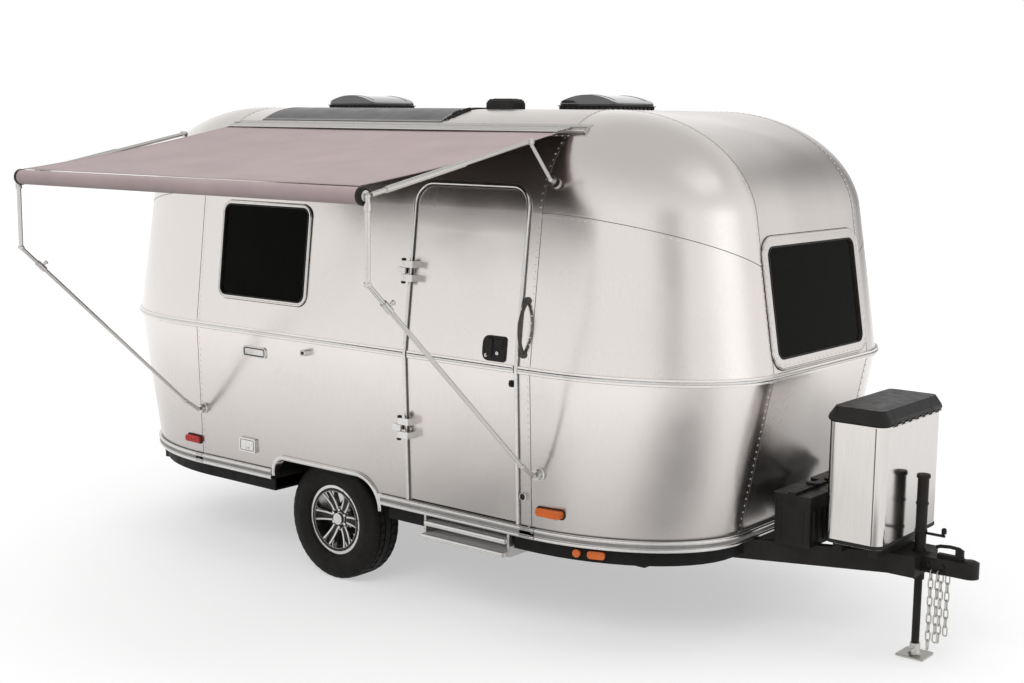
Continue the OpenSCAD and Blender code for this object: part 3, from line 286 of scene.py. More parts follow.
def makePiece(name, parts, slot, body="caravan", mat=None, smooth=True, sharp=50):
    # joins the parts; the finish is the slot's own unless another is named
    verts, faces = [], []
    for v, f in parts:
        base = len(verts)
        verts += v
        faces += [tuple(i + base for i in corners) for corners in f]
    mesh = bpy.data.meshes.new(name)
    mesh.from_pydata([tuple(v) for v in verts], [], faces)
    mesh.validate()
    mesh.materials.append(finish[mat or slot])
    for poly in mesh.polygons:
        poly.use_smooth = smooth
    if smooth:
        mesh.set_sharp_from_angle(angle=radians(sharp))
    piece = addObject(name, mesh)
    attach(piece, body)
    return piece


def skinned(rings, closed=False):
    # faces from ring to ring, with a cap on either end unless the last ring meets the first
    n, count = len(rings[0]), len(rings)
    faces = []
    for k in range(count if closed else count - 1):
        m = (k + 1) % count
        for i in range(n):
            j = (i + 1) % n
            faces.append((k * n + i, k * n + j, m * n + j, m * n + i))
    if not closed:
        faces += [tuple(reversed(range(n))), tuple(range((count - 1) * n, count * n))]
    return [v for ring in rings for v in ring], faces


def circle(point, side, other, radius, steps):
    turns = [2 * pi * i / steps for i in range(steps)]
    return [point + (side * cos(a) + other * sin(a)) * radius for a in turns]


def rounded(wide, tall, radius, steps=6):
    # rounded rectangle about the middle, anticlockwise
    out = []
    for q, (sx, sy) in enumerate(((1, 1), (-1, 1), (-1, -1), (1, -1))):
        for i in range(steps + 1):
            a = radians(90 * (q + i / steps))
            out.append((sx * (wide / 2 - radius) + radius * cos(a), sy * (tall / 2 - radius) + radius * sin(a)))
    return out


def slab(outline, point, normal, foot, top, chamfer=0.0015, along=None):
    # plate of a flat outline stood on a surface, with a chamfered upper edge
    u = (along or upward.cross(normal)).normalized()
    v = normal.cross(u)
    wide = max(abs(a) for a, b in outline)
    tall = max(abs(b) for a, b in outline)
    rings = []
    for inset, up in ((0, foot), (0, top - chamfer), (chamfer, top)):
        x, y = 1 - inset / wide, 1 - inset / tall
        rings.append([point + u * a * x + v * b * y + normal * up for a, b in outline])
    return skinned(rings)


def lathe(profile, point, axis, steps=24):
    # turned piece: (radius, height) pairs from the foot to the top
    side = axis.orthogonal().normalized()
    other = axis.cross(side)
    return skinned([circle(point + axis * h, side, other, r, steps) for r, h in profile])


def tube(points, radius, sides=10):
    rings, side = [], None
    for i, p in enumerate(points):
        along = (points[min(i + 1, len(points) - 1)] - points[max(i - 1, 0)]).normalized()
        side = along.orthogonal() if side is None else side - along * side.dot(along)
        side.normalize()
        rings.append(circle(p, side, along.cross(side), radius, sides))
    return skinned(rings)


# outer skin of the body: a half section swept round a long core, its ends drawn out lengthwise
shell = {"coreX": 1.593, "coreRear": -1.123, "coreY": 0.510, "cornerR": 0.660, "stretch": 1.45, "shoulderR": 0.576,
         "shoulderZ": 2.136, "beltZ": 1.418, "footZ": 0.575, "footIn": 0.034, "rake": 0.118 / 0.843,
         "seamFront": 1.545, "seamRear": -1.01503, "roofSeam": 52}
coreY, cornerR, stretch, rake = (shell[key] for key in ("coreY", "cornerR", "stretch", "rake"))
shoulderR, shoulderZ, beltZ, roofSeam = (shell[key] for key in ("shoulderR", "shoulderZ", "beltZ", "roofSeam"))
endCore = {1: shell["coreX"], -1: shell["coreRear"]}
endSeam = {1: shell["seamFront"], -1: shell["seamRear"]}
lean = acos(shoulderR / hypot(cornerR, shoulderZ - beltZ)) - atan2(shoulderZ - beltZ, cornerR)
endLean = atan(stretch * tan(lean))
footSlope = shell["footIn"] / (beltZ - shell["footZ"])
tangentZ = shoulderZ + shoulderR * sin(lean)
roofTop = shoulderZ + shoulderR


def section(z):
    # distance from the core and the outward normal at a height
    if z < beltZ:
        flat = hypot(1, footSlope)
        return cornerR - (beltZ - z) * footSlope, 1 / flat, -footSlope / flat
    if z < tangentZ:
        return cornerR - (z - beltZ) * tan(lean), cos(lean), sin(lean)
    high = min(1.0, (z - shoulderZ) / shoulderR)
    return shoulderR * sqrt(1 - high * high), sqrt(1 - high * high), high


def onSkin(x, y, way, z, end=0, proud=0.0, grow=0.0):
    # a point and normal on the skin; grow widens the section before an end is drawn out
    rho, out, rise = section(z)
    rho += grow
    draw = stretch if end else 1.0
    normal = Vector((out * way[0] / draw, out * way[1], rise))
    shift = 0.0
    if end and z < beltZ:
        shift = end * rake * (z - beltZ)
        normal.z -= end * rake * normal.x
    normal.normalize()
    return spot(x + draw * rho * way[0] + shift, y + rho * way[1], z) + normal * proud, normal


def wall(side, x, z, *off):
    return onSkin(x, side * coreY, (0, side), z, 0, *off)


def corner(side, end, angle, z, *off):
    # angle 0 at the side wall, 90 at the end wall
    a = radians(angle)
    return onSkin(endCore[end], side * coreY, (end * sin(a), side * cos(a)), z, end, *off)


def endWall(end, y, z, *off):
    return onSkin(endCore[end], y, (end, 0), z, end, *off)


def roofArc(side, x, angle, proud=0.0):
    # angle above the horizontal on the shoulder, 90 at the top
    a = radians(angle)
    normal = Vector((0, side * cos(a), sin(a)))
    return spot(x, side * coreY, shoulderZ) + normal * (shoulderR + proud), normal


def roofFlat(x, y, proud=0.0):
    return spot(x, y, roofTop + proud), upward


def halfRound(side, end, z, grow):
    # from a side seam round one corner to the end wall's middle
    run = [wall(side, x, z, 0, grow) for x in between(endSeam[end], endCore[end], 2)[:-1]]
    run += [corner(side, end, a, z, 0, grow) for a in between(0, 90, 40)[:-1]]
    return run + [endWall(end, y, z, 0, grow) for y in between(side * coreY, 0, 8)]


def evenly(run, step):
    # spots at an even spacing along a run of (point, normal)
    out = [run[0]]
    left = step
    for (p, n), (q, m) in zip(run, run[1:]):
        length = (q - p).length
        done = 0.0
        while length - done >= left:
            done += left
            t = done / length
            out.append((p.lerp(q, t), n.lerp(m, t).normalized()))
            left = step
        left -= length - done
    return out


# rivets: low domes sunk a little into the sheet
rivet = {"radius": 0.0056, "height": 0.0030, "sink": 0.0006, "sides": 8, "pitch": 0.036, "shoulder": (0.8, 0.62)}


def rivetAt(point, normal, r):
    h = rivet["height"] * r / rivet["radius"]
    n = rivet["sides"]
    wide, high = rivet["shoulder"]
    side = normal.orthogonal().normalized()
    other = normal.cross(side)
    verts = circle(point - normal * rivet["sink"], side, other, r, n)
    verts += circle(point + normal * (h * high), side, other, r * wide, n) + [point + normal * h]
    faces = []
    for i in range(n):
        j = (i + 1) % n
        faces += [(i, j, n + j, n + i), (n + i, n + j, 2 * n)]
    return verts, faces + [tuple(reversed(range(n)))]


def rivetRow(run, pitch=rivet["pitch"], radius=rivet["radius"]):
    return [rivetAt(point, normal, radius) for point, normal in evenly(run, pitch)]


def sideways(run, i, closed=False):
    last = len(run) - 1
    if closed:
        along = run[(i + 1) % len(run)][0] - run[i - 1][0]
    else:
        along = run[min(i + 1, last)][0] - run[max(i - 1, 0)][0]
    return along.cross(run[i][1]).normalized()


def strip(run, profile, closed=False):
    # a moulding along a run: profile is (across, above) pairs from one edge to the other
    rings = []
    for i, (p, n) in enumerate(run):
        side = sideways(run, i, closed)
        rings.append([p + side * across + n * above for across, above in profile])
    return skinned(rings, closed)


def band(run, width, proud, across=0.0, sink=0.0008, closed=False):
    w = width / 2
    flat = [(across - w * 0.86, proud), (across + w * 0.86, proud)]
    return strip(run, [(across - w, -sink), *flat, (across + w, -sink)], closed)


def bead(run, width, high, sink=0.001, sides=6, closed=False):
    profile = []
    for k in range(sides + 1):
        a = pi * k / sides
        profile.append((-cos(a) * width / 2, sin(a) * high - (sink if k in (0, sides) else 0)))
    return strip(run, profile, closed)


# openings in the wall: foot is where the trim starts, counts are the steps up, round, over, round and down
rail = {"top": 0.612, "foot": 0.552, "proud": 0.014, "inset": 0.010}
doorway = {"rear": 0.710, "front": 1.452, "foot": 0.617, "top": 2.312, "radii": (0.100, 0.100), "trim": 0.020,
           "proud": 0.011,
           "counts": (30, 10, 10, 10, 30)}
arch = {"rear": -0.365, "front": 0.470, "foot": shell["footZ"] + 0.002, "top": 0.682, "radii": (0.080, 0.170),
        "trim": 0.026,
        "proud": 0.009, "counts": (6, 10, 8, 14, 4)}
seams = {"size": (0.004, 0.0006), "foot": rail["top"] + 0.003, "offBelt": 0.02, "rivetsOff": 0.016, "goreOff": 0.014,
         "lowOff": 0.015, "roofOff": 1.6, "cornerHigh": 2.20, "cornerDip": 0.245}


def dipping(side, end):
    # upper corner seam: level at the side seam, lower at the end wall
    run = [wall(side, x, seams["cornerHigh"]) for x in between(endSeam[end], endCore[end], 2)[:-1]]
    for a in between(0, 90, 36):
        run.append(corner(side, end, a, seams["cornerHigh"] - seams["cornerDip"] * (a / 90) ** 1.6))
    return run


def moved(run, by):
    return [(p + by, n) for p, n in run]


def skinSeams():
    dark, rivets = [], []
    foot, shoulderSeam = seams["foot"], shoulderZ + shoulderR * sin(radians(roofSeam))

    def seam(run, rivetsBy):
        dark.append(band(run, *seams["size"]))
        rivets.extend(rivetRow(moved(run, rivetsBy)))

    for side in (-1, 1):
        y = side * coreY
        for end in (-1, 1):
            x = endSeam[end]
            upright = [wall(side, x, z) for z in between(foot, shoulderSeam, 40)]
            upright += [roofArc(side, x, a) for a in between(roofSeam, 90, 10)[1:]]
            upright += [roofFlat(x, v) for v in between(y, 0, 6)[1:]]
            seam(upright, ahead * -end * seams["rivetsOff"])
            gore = [roofFlat(u, y) for u in between(x, endCore[end], 2)[:-1]]
            gore += [endWall(end, y, shoulderZ + shoulderR * sin(radians(a))) for a in between(90, 7, 24)]
            gore += [endWall(end, y, z) for z in between(gore[-1][0].z, beltZ + seams["offBelt"], 16)[1:]]
            seam(gore, leftward * side * seams["goreOff"])
            seam(dipping(side, end), upward * -seams["goreOff"])
            low = [endWall(end, y, z) for z in between(foot, beltZ - seams["offBelt"], 20)]
            seam(low, leftward * side * seams["lowOff"])
        along = between(shell["seamRear"], shell["seamFront"], 30)
        dark.append(band([roofArc(side, x, roofSeam) for x in along], *seams["size"]))
        rivets.extend(rivetRow([roofArc(side, x, roofSeam - seams["roofOff"]) for x in along]))
    # the seam bands are dark lines of painted shade along each seam
    makePiece("skin_seams", dark, "skin", mat="shade_line", smooth=False)
    makePiece("skin_rivets", rivets, "skin")
    print("seams and rivets:", len(rivets), "rivets")


skinSeams()

# mouldings over the belt and the rub rail, and dark lines of painted shade along their edges: width and height of
# each
moulding = {"belt": (0.017, 0.006), "beltProud": 0.008, "beltEdge": 0.0195, "beltLine": (0.004, 0.0008),
            "doorEnds": 0.012,
            "rail": (0.015, 0.005), "insert": (0.020, 0.002), "railLine": (0.005, 0.001), "railLineUp": 0.0025,
            "door": (0.018, 0.006), "doorLine": (0.005, 0.001), "doorLineOut": 0.002, "arch": (0.022, 0.006),
            "seal": (0.0066, 0.003), "sealIn": (-0.0036, -0.0035)}
doorGap = (doorway["rear"] - doorway["trim"], doorway["front"] + doorway["trim"])
archGap = (arch["rear"] - arch["trim"], arch["front"] + arch["trim"])
beltGaps = [(1, ()), (-1, doorGap)]
railGaps = [(-1, archGap), (1, archGap)]


def level(run):
    return [(p, Vector((n.x, n.y, 0)).normalized()) for p, n in run]


def sideRun(side, z, x0, x1, grow=0.0):
    return level([wall(side, x, z, 0, grow) for x in between(x0, x1, 12)])


def mouldingRuns(z, grow, gaps):
    # both ends, then each side either way of the gap in it
    runs = [level(halfRound(-1, end, z, grow) + halfRound(1, end, z, grow)[-2::-1]) for end in (-1, 1)]
    for side, gap in gaps:
        stops = [shell["seamRear"], *gap, shell["seamFront"]]
        runs += [sideRun(side, z, a, b, grow) for a, b in zip(stops[::2], stops[1::2])]
    return runs


def railRuns(z):
    return mouldingRuns(z, rail["proud"] - shell["footIn"] + (beltZ - z) * footSlope, railGaps)


def mouldings():
    z = beltZ + 1e-6
    proud, size, line = moulding["beltProud"], moulding["belt"], moulding["beltLine"]
    inDoor = (doorway["rear"] + moulding["doorEnds"], doorway["front"] - moulding["doorEnds"])
    makePiece("belt_bead", [bead(run, *size) for run in mouldingRuns(z, proud, beltGaps)], "bright_trim")
    makePiece("door_belt_bead", [bead(sideRun(-1, z, *inDoor, proud), *size)], "bright_trim", "door")
    # a dark line of painted shade below the belt moulding
    at = beltZ - moulding["beltEdge"]
    lines = [band(run, *line) for run in mouldingRuns(at, 0, beltGaps)]
    makePiece("belt_shade_line", lines, "skin", mat="shade_line", smooth=False)
    makePiece("door_belt_shade_line", [band(sideRun(-1, at, *inDoor), *line)], "skin", "door", "shade_line", smooth=False)
    levels = (rail["top"] - rail["inset"], rail["foot"] + rail["inset"])
    makePiece("rub_rail_beads", [bead(run, *moulding["rail"]) for at in levels for run in railRuns(at)],
              "bright_trim")
    inserts = [band(run, *moulding["insert"]) for run in railRuns((rail["top"] + rail["foot"]) / 2)]
    makePiece("rub_rail_insert", inserts, "bright_trim", mat="vinyl")
    # a dark line of painted shade just above the rub rail
    lines = [band(run, *moulding["railLine"])
             for run in mouldingRuns(rail["top"] + moulding["railLineUp"], 0, railGaps)]
    makePiece("rub_rail_shade_line", lines, "skin", mat="shade_line", smooth=False)


def overTop(cut, side, grow, proud):
    # up a cut's rear edge, over its top and down its front edge
    rear, front, top, foot = cut["rear"] - grow, cut["front"] + grow, cut["top"] + grow, cut["foot"]
    a, b = (r + grow for r in cut["radii"])
    up, first, over, second, down = cut["counts"]
    run = [(rear, z) for z in between(foot, top - a, up)]
    run += [(rear + a - a * cos(q), top - a + a * sin(q)) for q in quarter(first)[1:]]
    run += [(x, top) for x in between(rear + a, front - b, over)[1:]]
    run += [(front - b + b * sin(q), top - b + b * cos(q)) for q in quarter(second)[1:]]
    if top - b > foot:
        run += [(front, z) for z in between(top - b, foot, down)[1:]]
    return [wall(side, x, z, proud) for x, z in run]


def doorAndArchTrim():
    trim = doorway["trim"]
    makePiece("door_frame_bead", [bead(overTop(doorway, -1, trim / 2, doorway["proud"]), *moulding["door"])],
              "bright_trim")
    # a dark line of painted shade just outside the door trim
    around = band(overTop(doorway, -1, trim + moulding["doorLineOut"], 0), *moulding["doorLine"])
    makePiece("door_frame_shade_line", [around], "skin", mat="shade_line", smooth=False)
    bulb = bead(overTop(doorway, -1, *moulding["sealIn"]), *moulding["seal"])
    makePiece("door_seal", [bulb], "black_plastic", mat="vinyl")
    rims = [bead(overTop(arch, side, arch["trim"] / 2, arch["proud"]), *moulding["arch"]) for side in (-1, 1)]
    makePiece("arch_beads", rims, "bright_trim")


mouldings()
doorAndArchTrim()
print("mouldings done")

# windows: wall, middle along it, sill height, width, height on the slope, width of the surround
window = {"radius": 0.045, "proud": 0.010, "panes": [
    ("right", -0.45784, 1.618, 0.70554, 0.52929, 0.024), ("left", -0.45784, 1.618, 0.70554, 0.52929, 0.024),
    ("left", 1.090, 1.618, 0.640, 0.46929, 0.024), ("front", 0.0, 1.501, 0.910, 0.55110, 0.0576),
    ("rear", 0.0, 1.501, 0.910, 0.55110, 0.0576)],
    "gasket": (0.011, 0.004), "line": (0.005, 0.0012), "lip": (0.010, 0.003), "rivets": (0.045, 0.0040)}


def paneRun(pane, grow, proud):
    where, at, sill, wide, tall = pane[:5]
    onSide = where in ("right", "left")
    way = 1 if where in ("left", "front") else -1
    slope = lean if onSide else endLean
    run = []
    for u, v in rounded(wide + 2 * grow, tall + 2 * grow, window["radius"] + grow, 8):
        z = sill + (v + tall / 2) * cos(slope)
        run.append(wall(way, at - way * u, z, proud) if onSide else endWall(way, at + way * u, z, proud))
    return run


def dressWindows():
    gaskets, lips, rivets = [], [], []
    proud = window["proud"]
    for pane in window["panes"]:
        surround = pane[5]
        gaskets.append(bead(paneRun(pane, 0.001, proud), *window["gasket"], closed=True))
        gaskets.append(band(paneRun(pane, surround + 0.0015, 0), *window["line"], closed=True))
        lips.append(bead(paneRun(pane, surround - 0.006, proud), *window["lip"], closed=True))
        if surround > 0.05:  # the wide end surrounds are riveted
            ring = paneRun(pane, surround * 0.62, proud)
            rivets += rivetRow(ring + ring[:1], *window["rivets"])
    makePiece("window_gaskets", gaskets, "black_plastic", mat="gasket")
    makePiece("window_lips", lips, "bright_trim")
    makePiece("window_rivets", rivets, "bright_trim")


dressWindows()

# door latch: a plate rounded to the hinge side, a paddle and a lock cover on it, two lock barrels
latch = {"at": (1.310, 1.508), "wide": 0.150, "tall": 0.130, "corner": 0.012, "top": 0.013, "lockR": 0.010,
         "locks": [(-0.042, -0.038), (0.030, -0.022)],
         "barrel": [(1, 0), (1, 0.005), (0.9, 0.0065), (0.62, 0.0068), (0.6, 0.0055), (0.3, 0.0056)],
         "pads": [((0.038, 0.098, 0.010), -0.022, 0.006, 0.022, 0.005),
                  ((0.056, 0.050, 0.008), 0.034, 0.026, 0.017, 0.002)],
         "keyway": (0.002, 0.009, 0.0009, 3), "pin": (1.430, 1.342)}


def latchOutline():
    # right edge nearly square, left edge swept round
    w, t, c = latch["wide"] / 2, latch["tall"] / 2, latch["corner"]
    out = [(w, -t + c), (w, t - c), (w - c, t)]
    for a in between(90, 270, 16):
        s = radians(a)
        out.append((-w * 0.42 + w * 0.58 * cos(s), t * copysign(abs(sin(s)) ** 0.55, sin(s))))
    return out + [(w - c, -t)]


def makeLatch():
    p, n = wall(-1, *latch["at"])
    across = upward.cross(n).normalized()
    up = n.cross(across)
    seat = latch["top"] - 0.001
    parts = [slab(latchOutline(), p, n, -0.0005, latch["top"], 0.004)]
    for outline, u, v, top, chamfer in latch["pads"]:
        parts.append(slab(rounded(*outline), p + across * u + up * v, n, seat, top, chamfer))
    piece = makePiece("door_latch_plate", parts, "black_plastic", "door", sharp=35)
    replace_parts(piece, "door_latch")
    locks, slots = [], []
    for u, v in latch["locks"]:
        at = p + across * u + up * v + n * seat
        locks.append(lathe([(latch["lockR"] * r, h) for r, h in latch["barrel"]], at, n, 20))
        slots.append(slab(rounded(*latch["keyway"]), at, n, 0.0050, 0.0062, 0.0003))
    makePiece("latch_locks", locks, "bright_trim", "door", sharp=35)
    makePiece("latch_keyways", slots, "black_plastic", "door", "gasket", smooth=False)
    catch = wall(-1, *latch["pin"])
    hold = [slab(rounded(0.030, 0.034, 0.006), *catch, -0.0005, 0.008, 0.002),
            slab(rounded(0.018, 0.016, 0.004), *catch, 0.007, 0.020, 0.003)]
    makePiece("door_holdback_pin", hold, "black_plastic", "door", sharp=35)


makeLatch()

# hinge caps, plaque, flap, hold-back's jaw and port: x, z and stand-off, then width, height and corner
fittings = {"hinges": (1.020, 1.860), "hingeX": 0.692, "hingeOff": 0.052,
            "plaque": ((-0.49984, 1.298, 0.0065), (0.200, 0.066, 0.020)),
            "flap": ((-0.590, 0.728, 0.0165), (0.140, 0.084, 0.010)),
            "holdback": ((-0.060, 1.342, 0.0345), (0.040, 0.034, 0.008)),
            "port": ((1.500, 0.768, 0.010), 0.022),
            "cap": [(0.0125, 0.054), (0.0125, 0.064), (0.010, 0.067), (0.004, 0.068)],
            "washer": [(0.0122, 0.0172), (0.0122, 0.0188)],
            "ring": [(1, -0.001), (1, 0.004), (0.92, 0.006), (0.78, 0.006), (0.74, 0.001)],
            "plug": [(0.74, 0.0012), (0.72, 0.004), (0.4, 0.0052), (0.1, 0.0054)]}


def hingeAt(z):
    low, high = fittings["hinges"]
    a, b = (wall(-1, fittings["hingeX"], end)[0] for end in (low, high))
    axis = (b - a).normalized()
    y = a.y - offY - fittings["hingeOff"] + (z - low) * axis.y / axis.z
    return spot(fittings["hingeX"], y, z), axis


def onFace(x, z, stand):
    # fittings that stand square to the side, a distance off the wall at their middle
    return Vector((x + offX, wall(-1, x, z)[0].y - stand, z)), -leftward


def ringRun(p, n, outline):
    u = upward.cross(n).normalized()
    v = n.cross(u)
    return [(p + u * a + v * b, n) for a, b in outline]


def makeFittings():
    caps, rims, darks = [], [], []
    for z in fittings["hinges"]:
        p, axis = hingeAt(z)
        for way in (-1, 1):
            caps += [lathe(fittings[key], p, axis * way, 18) for key in ("cap", "washer")]
    makePiece("hinge_caps", caps, "black_plastic", sharp=35)

    def ring(shape, key, inX, inZ, inR, *size):
        at, (wide, tall, r) = fittings[key]
        return shape(ringRun(*onFace(*at), rounded(wide - inX, tall - inZ, r - inR)), *size, closed=True)

    rims.append(ring(bead, "plaque", 0.010, 0.010, 0.005, 0.008, 0.003))
    rims.append(ring(bead, "plaque", 0.050, 0.036, 0.006, 0.004, 0.0015))
    darks.append(ring(band, "plaque", 0.030, 0.024, 0.009, 0.007, 0.0006))
    darks.append(ring(band, "flap", 0.026, 0.022, 0.004, 0.003, 0.0005))
    p, n = onFace(*fittings["flap"][0])
    rims.append(slab(rounded(0.030, 0.008, 0.003), p - upward * 0.016, n, -0.001, 0.006, 0.002))
    rims.append(ring(bead, "holdback", 0.006, 0.006, 0.003, 0.006, 0.003))
    darks.append(slab(rounded(0.022, 0.017, 0.004), *onFace(*fittings["holdback"][0]), -0.001, 0.0012, 0.0005))
    at, r = fittings["port"]
    p, n = onFace(*at)
    rims.append(lathe([(r * a, h) for a, h in fittings["ring"]], p, n, 28))
    darks.append(lathe([(r * a, h) for a, h in fittings["plug"]], p, n, 24))
    makePiece("fitting_rims", rims, "bright_trim", sharp=40)
    makePiece("fitting_darks", darks, "black_plastic", sharp=40)


makeFittings()
print("door and wall fittings done")

# awning canopy: a stretched sheet that sags between rail and roller
canopy = {"sag": 0.030, "across": 60, "along": 34, "thick": 0.0012, "ripple": 0.005, "hem": 0.026, "slack": 1.003}
clothLow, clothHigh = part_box("awning_cloth")
clothInner = Vector((0, clothHigh.y - 0.002, clothHigh.z - 0.002))
clothOuter = Vector((0, clothLow.y, clothLow.z + 0.004))


def makeCanopy():
    rnd = random.Random(7)
    phases = [rnd.uniform(0, 6.28) for _ in range(6)]
    width = clothHigh.x - clothLow.x
    nu, nv = canopy["across"], canopy["along"]
    rows, faces = [], []
    for i in range(nu + 1):
        u = i / nu
        row = []
        for j in range(nv + 1):
            v = j / nv
            p = clothInner.lerp(clothOuter, v)
            bow = sin(pi * v) ** 0.9
            fold = sum(sin((k + 2) * 3.1 * u + phases[k] + v * (k - 2)) for k in range(5)) / 5
            z = p.z - canopy["sag"] * bow * (0.55 + 0.45 * sin(pi * u)) + canopy["ripple"] * fold * bow
            row.append(Vector((clothLow.x + width * u, p.y, z)))
        rows.append(row)
    for i in range(nu):
        for j in range(nv):
            a = i * (nv + 1) + j
            faces.append((a, a + 1, a + nv + 2, a + nv + 1))
    hems = []
    for row, way in ((rows[0], -1), (rows[-1], 1)):
        edge = [(v + upward * 0.0004, upward) for v in row]
        hems.append(band(edge, canopy["hem"], 0.0016, across=way * canopy["hem"] / 2, sink=0.0018))
    piece = makePiece("awning_canopy", [([v for row in rows for v in row], faces)], "awning_cloth")
    thick = piece.modifiers.new("clothThickness", "SOLIDIFY")
    thick.thickness = canopy["thick"]
    thick.offset = 0
    piece.data.materials.append(finish["clothUnderShade"])
    thick.material_offset = 1  # the lower face is painted dark, as painted shade under the canopy
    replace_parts(piece, "awning_cloth")
    hem = makePiece("canopy_hems", hems, "awning_cloth")


makeCanopy()

# awning hardware: places of the roller, rail and legs, rows of the rail by angle, then the turned pieces
awning = {"legX": (-0.98503, 1.600), "roller": (-2.369, 2.327), "capIn": 0.032, "railOut": 0.0162,
          "railEnds": (0.028, 0.038), "knobA": 21.5, "knobOut": 0.010, "elbow": (-1.262, 2.552), "bendZ": 1.950,
          "knee": (-1.292, 0.965), "footZ": 0.900, "footOut": 0.012, "collarAt": 0.160,
          "beads": ((55.6, 0.010, 0.004), (54.2, 0.006, 0.003), (52.6, 0.008, 0.005)),
          "lines": ((54.9, 0.0162, 0.003, 0.0006), (53.4, 0.0162, 0.003, 0.0006), (56.6, 0, 0.004, 0.0008),
                    (51.4, 0, 0.004, 0.0008)),
          "flange": (58.4, 0.034, 0.0022), "screws": (58.6, 0.02, 0.16, 0.0058)}
turned = {"cap": [(0.034, -0.004), (0.042, -0.003), (0.042, 0.012), (0.036, 0.019), (0.026, 0.021), (0.014, 0.0215)],
          "hub": [(0.026, 0.018), (0.025, 0.0225), (0.018, 0.0235)],
          "knob": [(0.0275, 0), (0.0285, 0.004), (0.0285, 0.024), (0.026, 0.0285), (0.016, 0.0295)],
          "knobEye": [(0.012, 0.0293), (0.011, 0.0315), (0.005, 0.0325)],
          "foot": [(0.034, -0.016), (0.034, -0.006), (0.0285, -0.003), (0.0275, 0.018), (0.0265, 0.021)],
          "elbow": [(0.010, -0.019), (0.016, -0.017), (0.016, 0.017), (0.010, 0.019)],
          "collar": [(0.0150, -0.018), (0.0168, -0.016), (0.0168, 0.016), (0.0150, 0.018)],
          "screw": [(0.0085, 0.020), (0.0085, 0.030), (0.012, 0.032), (0.012, 0.040), (0.009, 0.042)],
          "pivot": [(0.006, -0.018), (0.011, -0.0165), (0.011, 0.0165), (0.006, 0.018)],
          "socket": [(0.0155, -0.028), (0.0165, -0.030), (0.0165, -0.062), (0.0145, -0.064)]}
slats = {"count": 3, "pitch": 0.042, "up": 0.0030, "end": [(0.1275, 0.0006), (0.1270, -0.0012)],
         "ridge": [(0.003, 0.0010), (0.007, 0.0042), (0.011, 0.0042), (0.015, 0.0010), (0.039, 0.0010)]}


def coverSlats():
    # three ridged slats over the cloth's inner edge
    slope = (clothOuter - clothInner).normalized()
    up = Vector((0, slope.z, -slope.y))
    run = [(Vector((x, clothInner.y, clothInner.z)) + up * slats["up"], up)
           for x in between(clothLow.x, clothHigh.x, 16)]
    profile = [(0.002, -0.0012)]
    for k in range(slats["count"]):
        profile += [(k * slats["pitch"] + across, above) for across, above in slats["ridge"]]
    return strip(run, profile + slats["end"])


def awningHardware():
    rear, front = awning["legX"]
    chrome, black = [], []
    x0, x1 = rear - awning["railEnds"][0], front + awning["railEnds"][1]

    def row(angle, proud, inset=0.0):
        return [roofArc(-1, x, angle, proud) for x in between(x0 + inset, x1 - inset, 24)]

    for x, way in ((front - awning["capIn"], 1), (rear + awning["capIn"], -1)):
        end = spot(x, *awning["roller"])
        black.append(lathe(turned["cap"], end, ahead * way, 28))
        chrome.append(lathe(turned["hub"], end, ahead * way, 24))
    chrome += [bead(row(angle, awning["railOut"]), wide, high) for angle, wide, high in awning["beads"]]
    # dark lines of painted shade in the rail's grooves and along its edges
    dark = [band(row(angle, out), wide, high) for angle, out, wide, high in awning["lines"]]
    angle, wide, high = awning["flange"]
    chrome.append(band(row(angle, 0), wide, high))
    angle, inset, pitch, radius = awning["screws"]
    screws = rivetRow(moved(row(angle, 0, inset), upward * high), pitch, radius)
    for x in awning["legX"]:
        knob = roofArc(-1, x, awning["knobA"], awning["knobOut"])
        bend, knee = spot(x, awning["roller"][0], awning["bendZ"]), spot(x, *awning["knee"])
        slope = (knee - bend).normalized()
        collar = bend + slope * awning["collarAt"]
        black.append(lathe(turned["knob"], *knob, 24))
        black.append(lathe(turned["collar"], collar, slope, 20))
        chrome.append(lathe(turned["foot"], *onFace(x, awning["footZ"], awning["footOut"]), 24))
        chrome.append(lathe(turned["knobEye"], *knob, 18))
        chrome.append(lathe(turned["elbow"], spot(x, *awning["elbow"]), ahead, 20))
        chrome.append(lathe(turned["screw"], collar, slope.orthogonal().normalized(), 16))
        chrome += [lathe(turned["pivot"], at, ahead, 16) for at in (bend, knee)]
        chrome.append(lathe(turned["socket"], spot(x, *awning["roller"]), upward, 20))
    makePiece("awning_chrome", chrome + [coverSlats()], "awning_metal", sharp=35)
    makePiece("awning_black", black, "black_plastic", sharp=35)
    makePiece("awning_rail_lines", dark, "awning_metal", mat="shade_line", smooth=False)
    makePiece("awning_rail_screws", screws, "zinc")


awningHardware()
print("awning done")

# roof: vent flanges and lid ribs
vent = {"x": {"front": 1.153, "rear": -0.67803}, "size": 0.400, "high": 0.026, "lugs": 9, "lugPitch": 0.040,
        "lug": (0.024, 0.018, 0.003, 3),
        "half": 0.194, "rise": 0.044, "flat": 0.165, "rimUp": 0.0075, "crown": 0.0583, "ribY": 0.150,
        "ribHalf": 0.160}


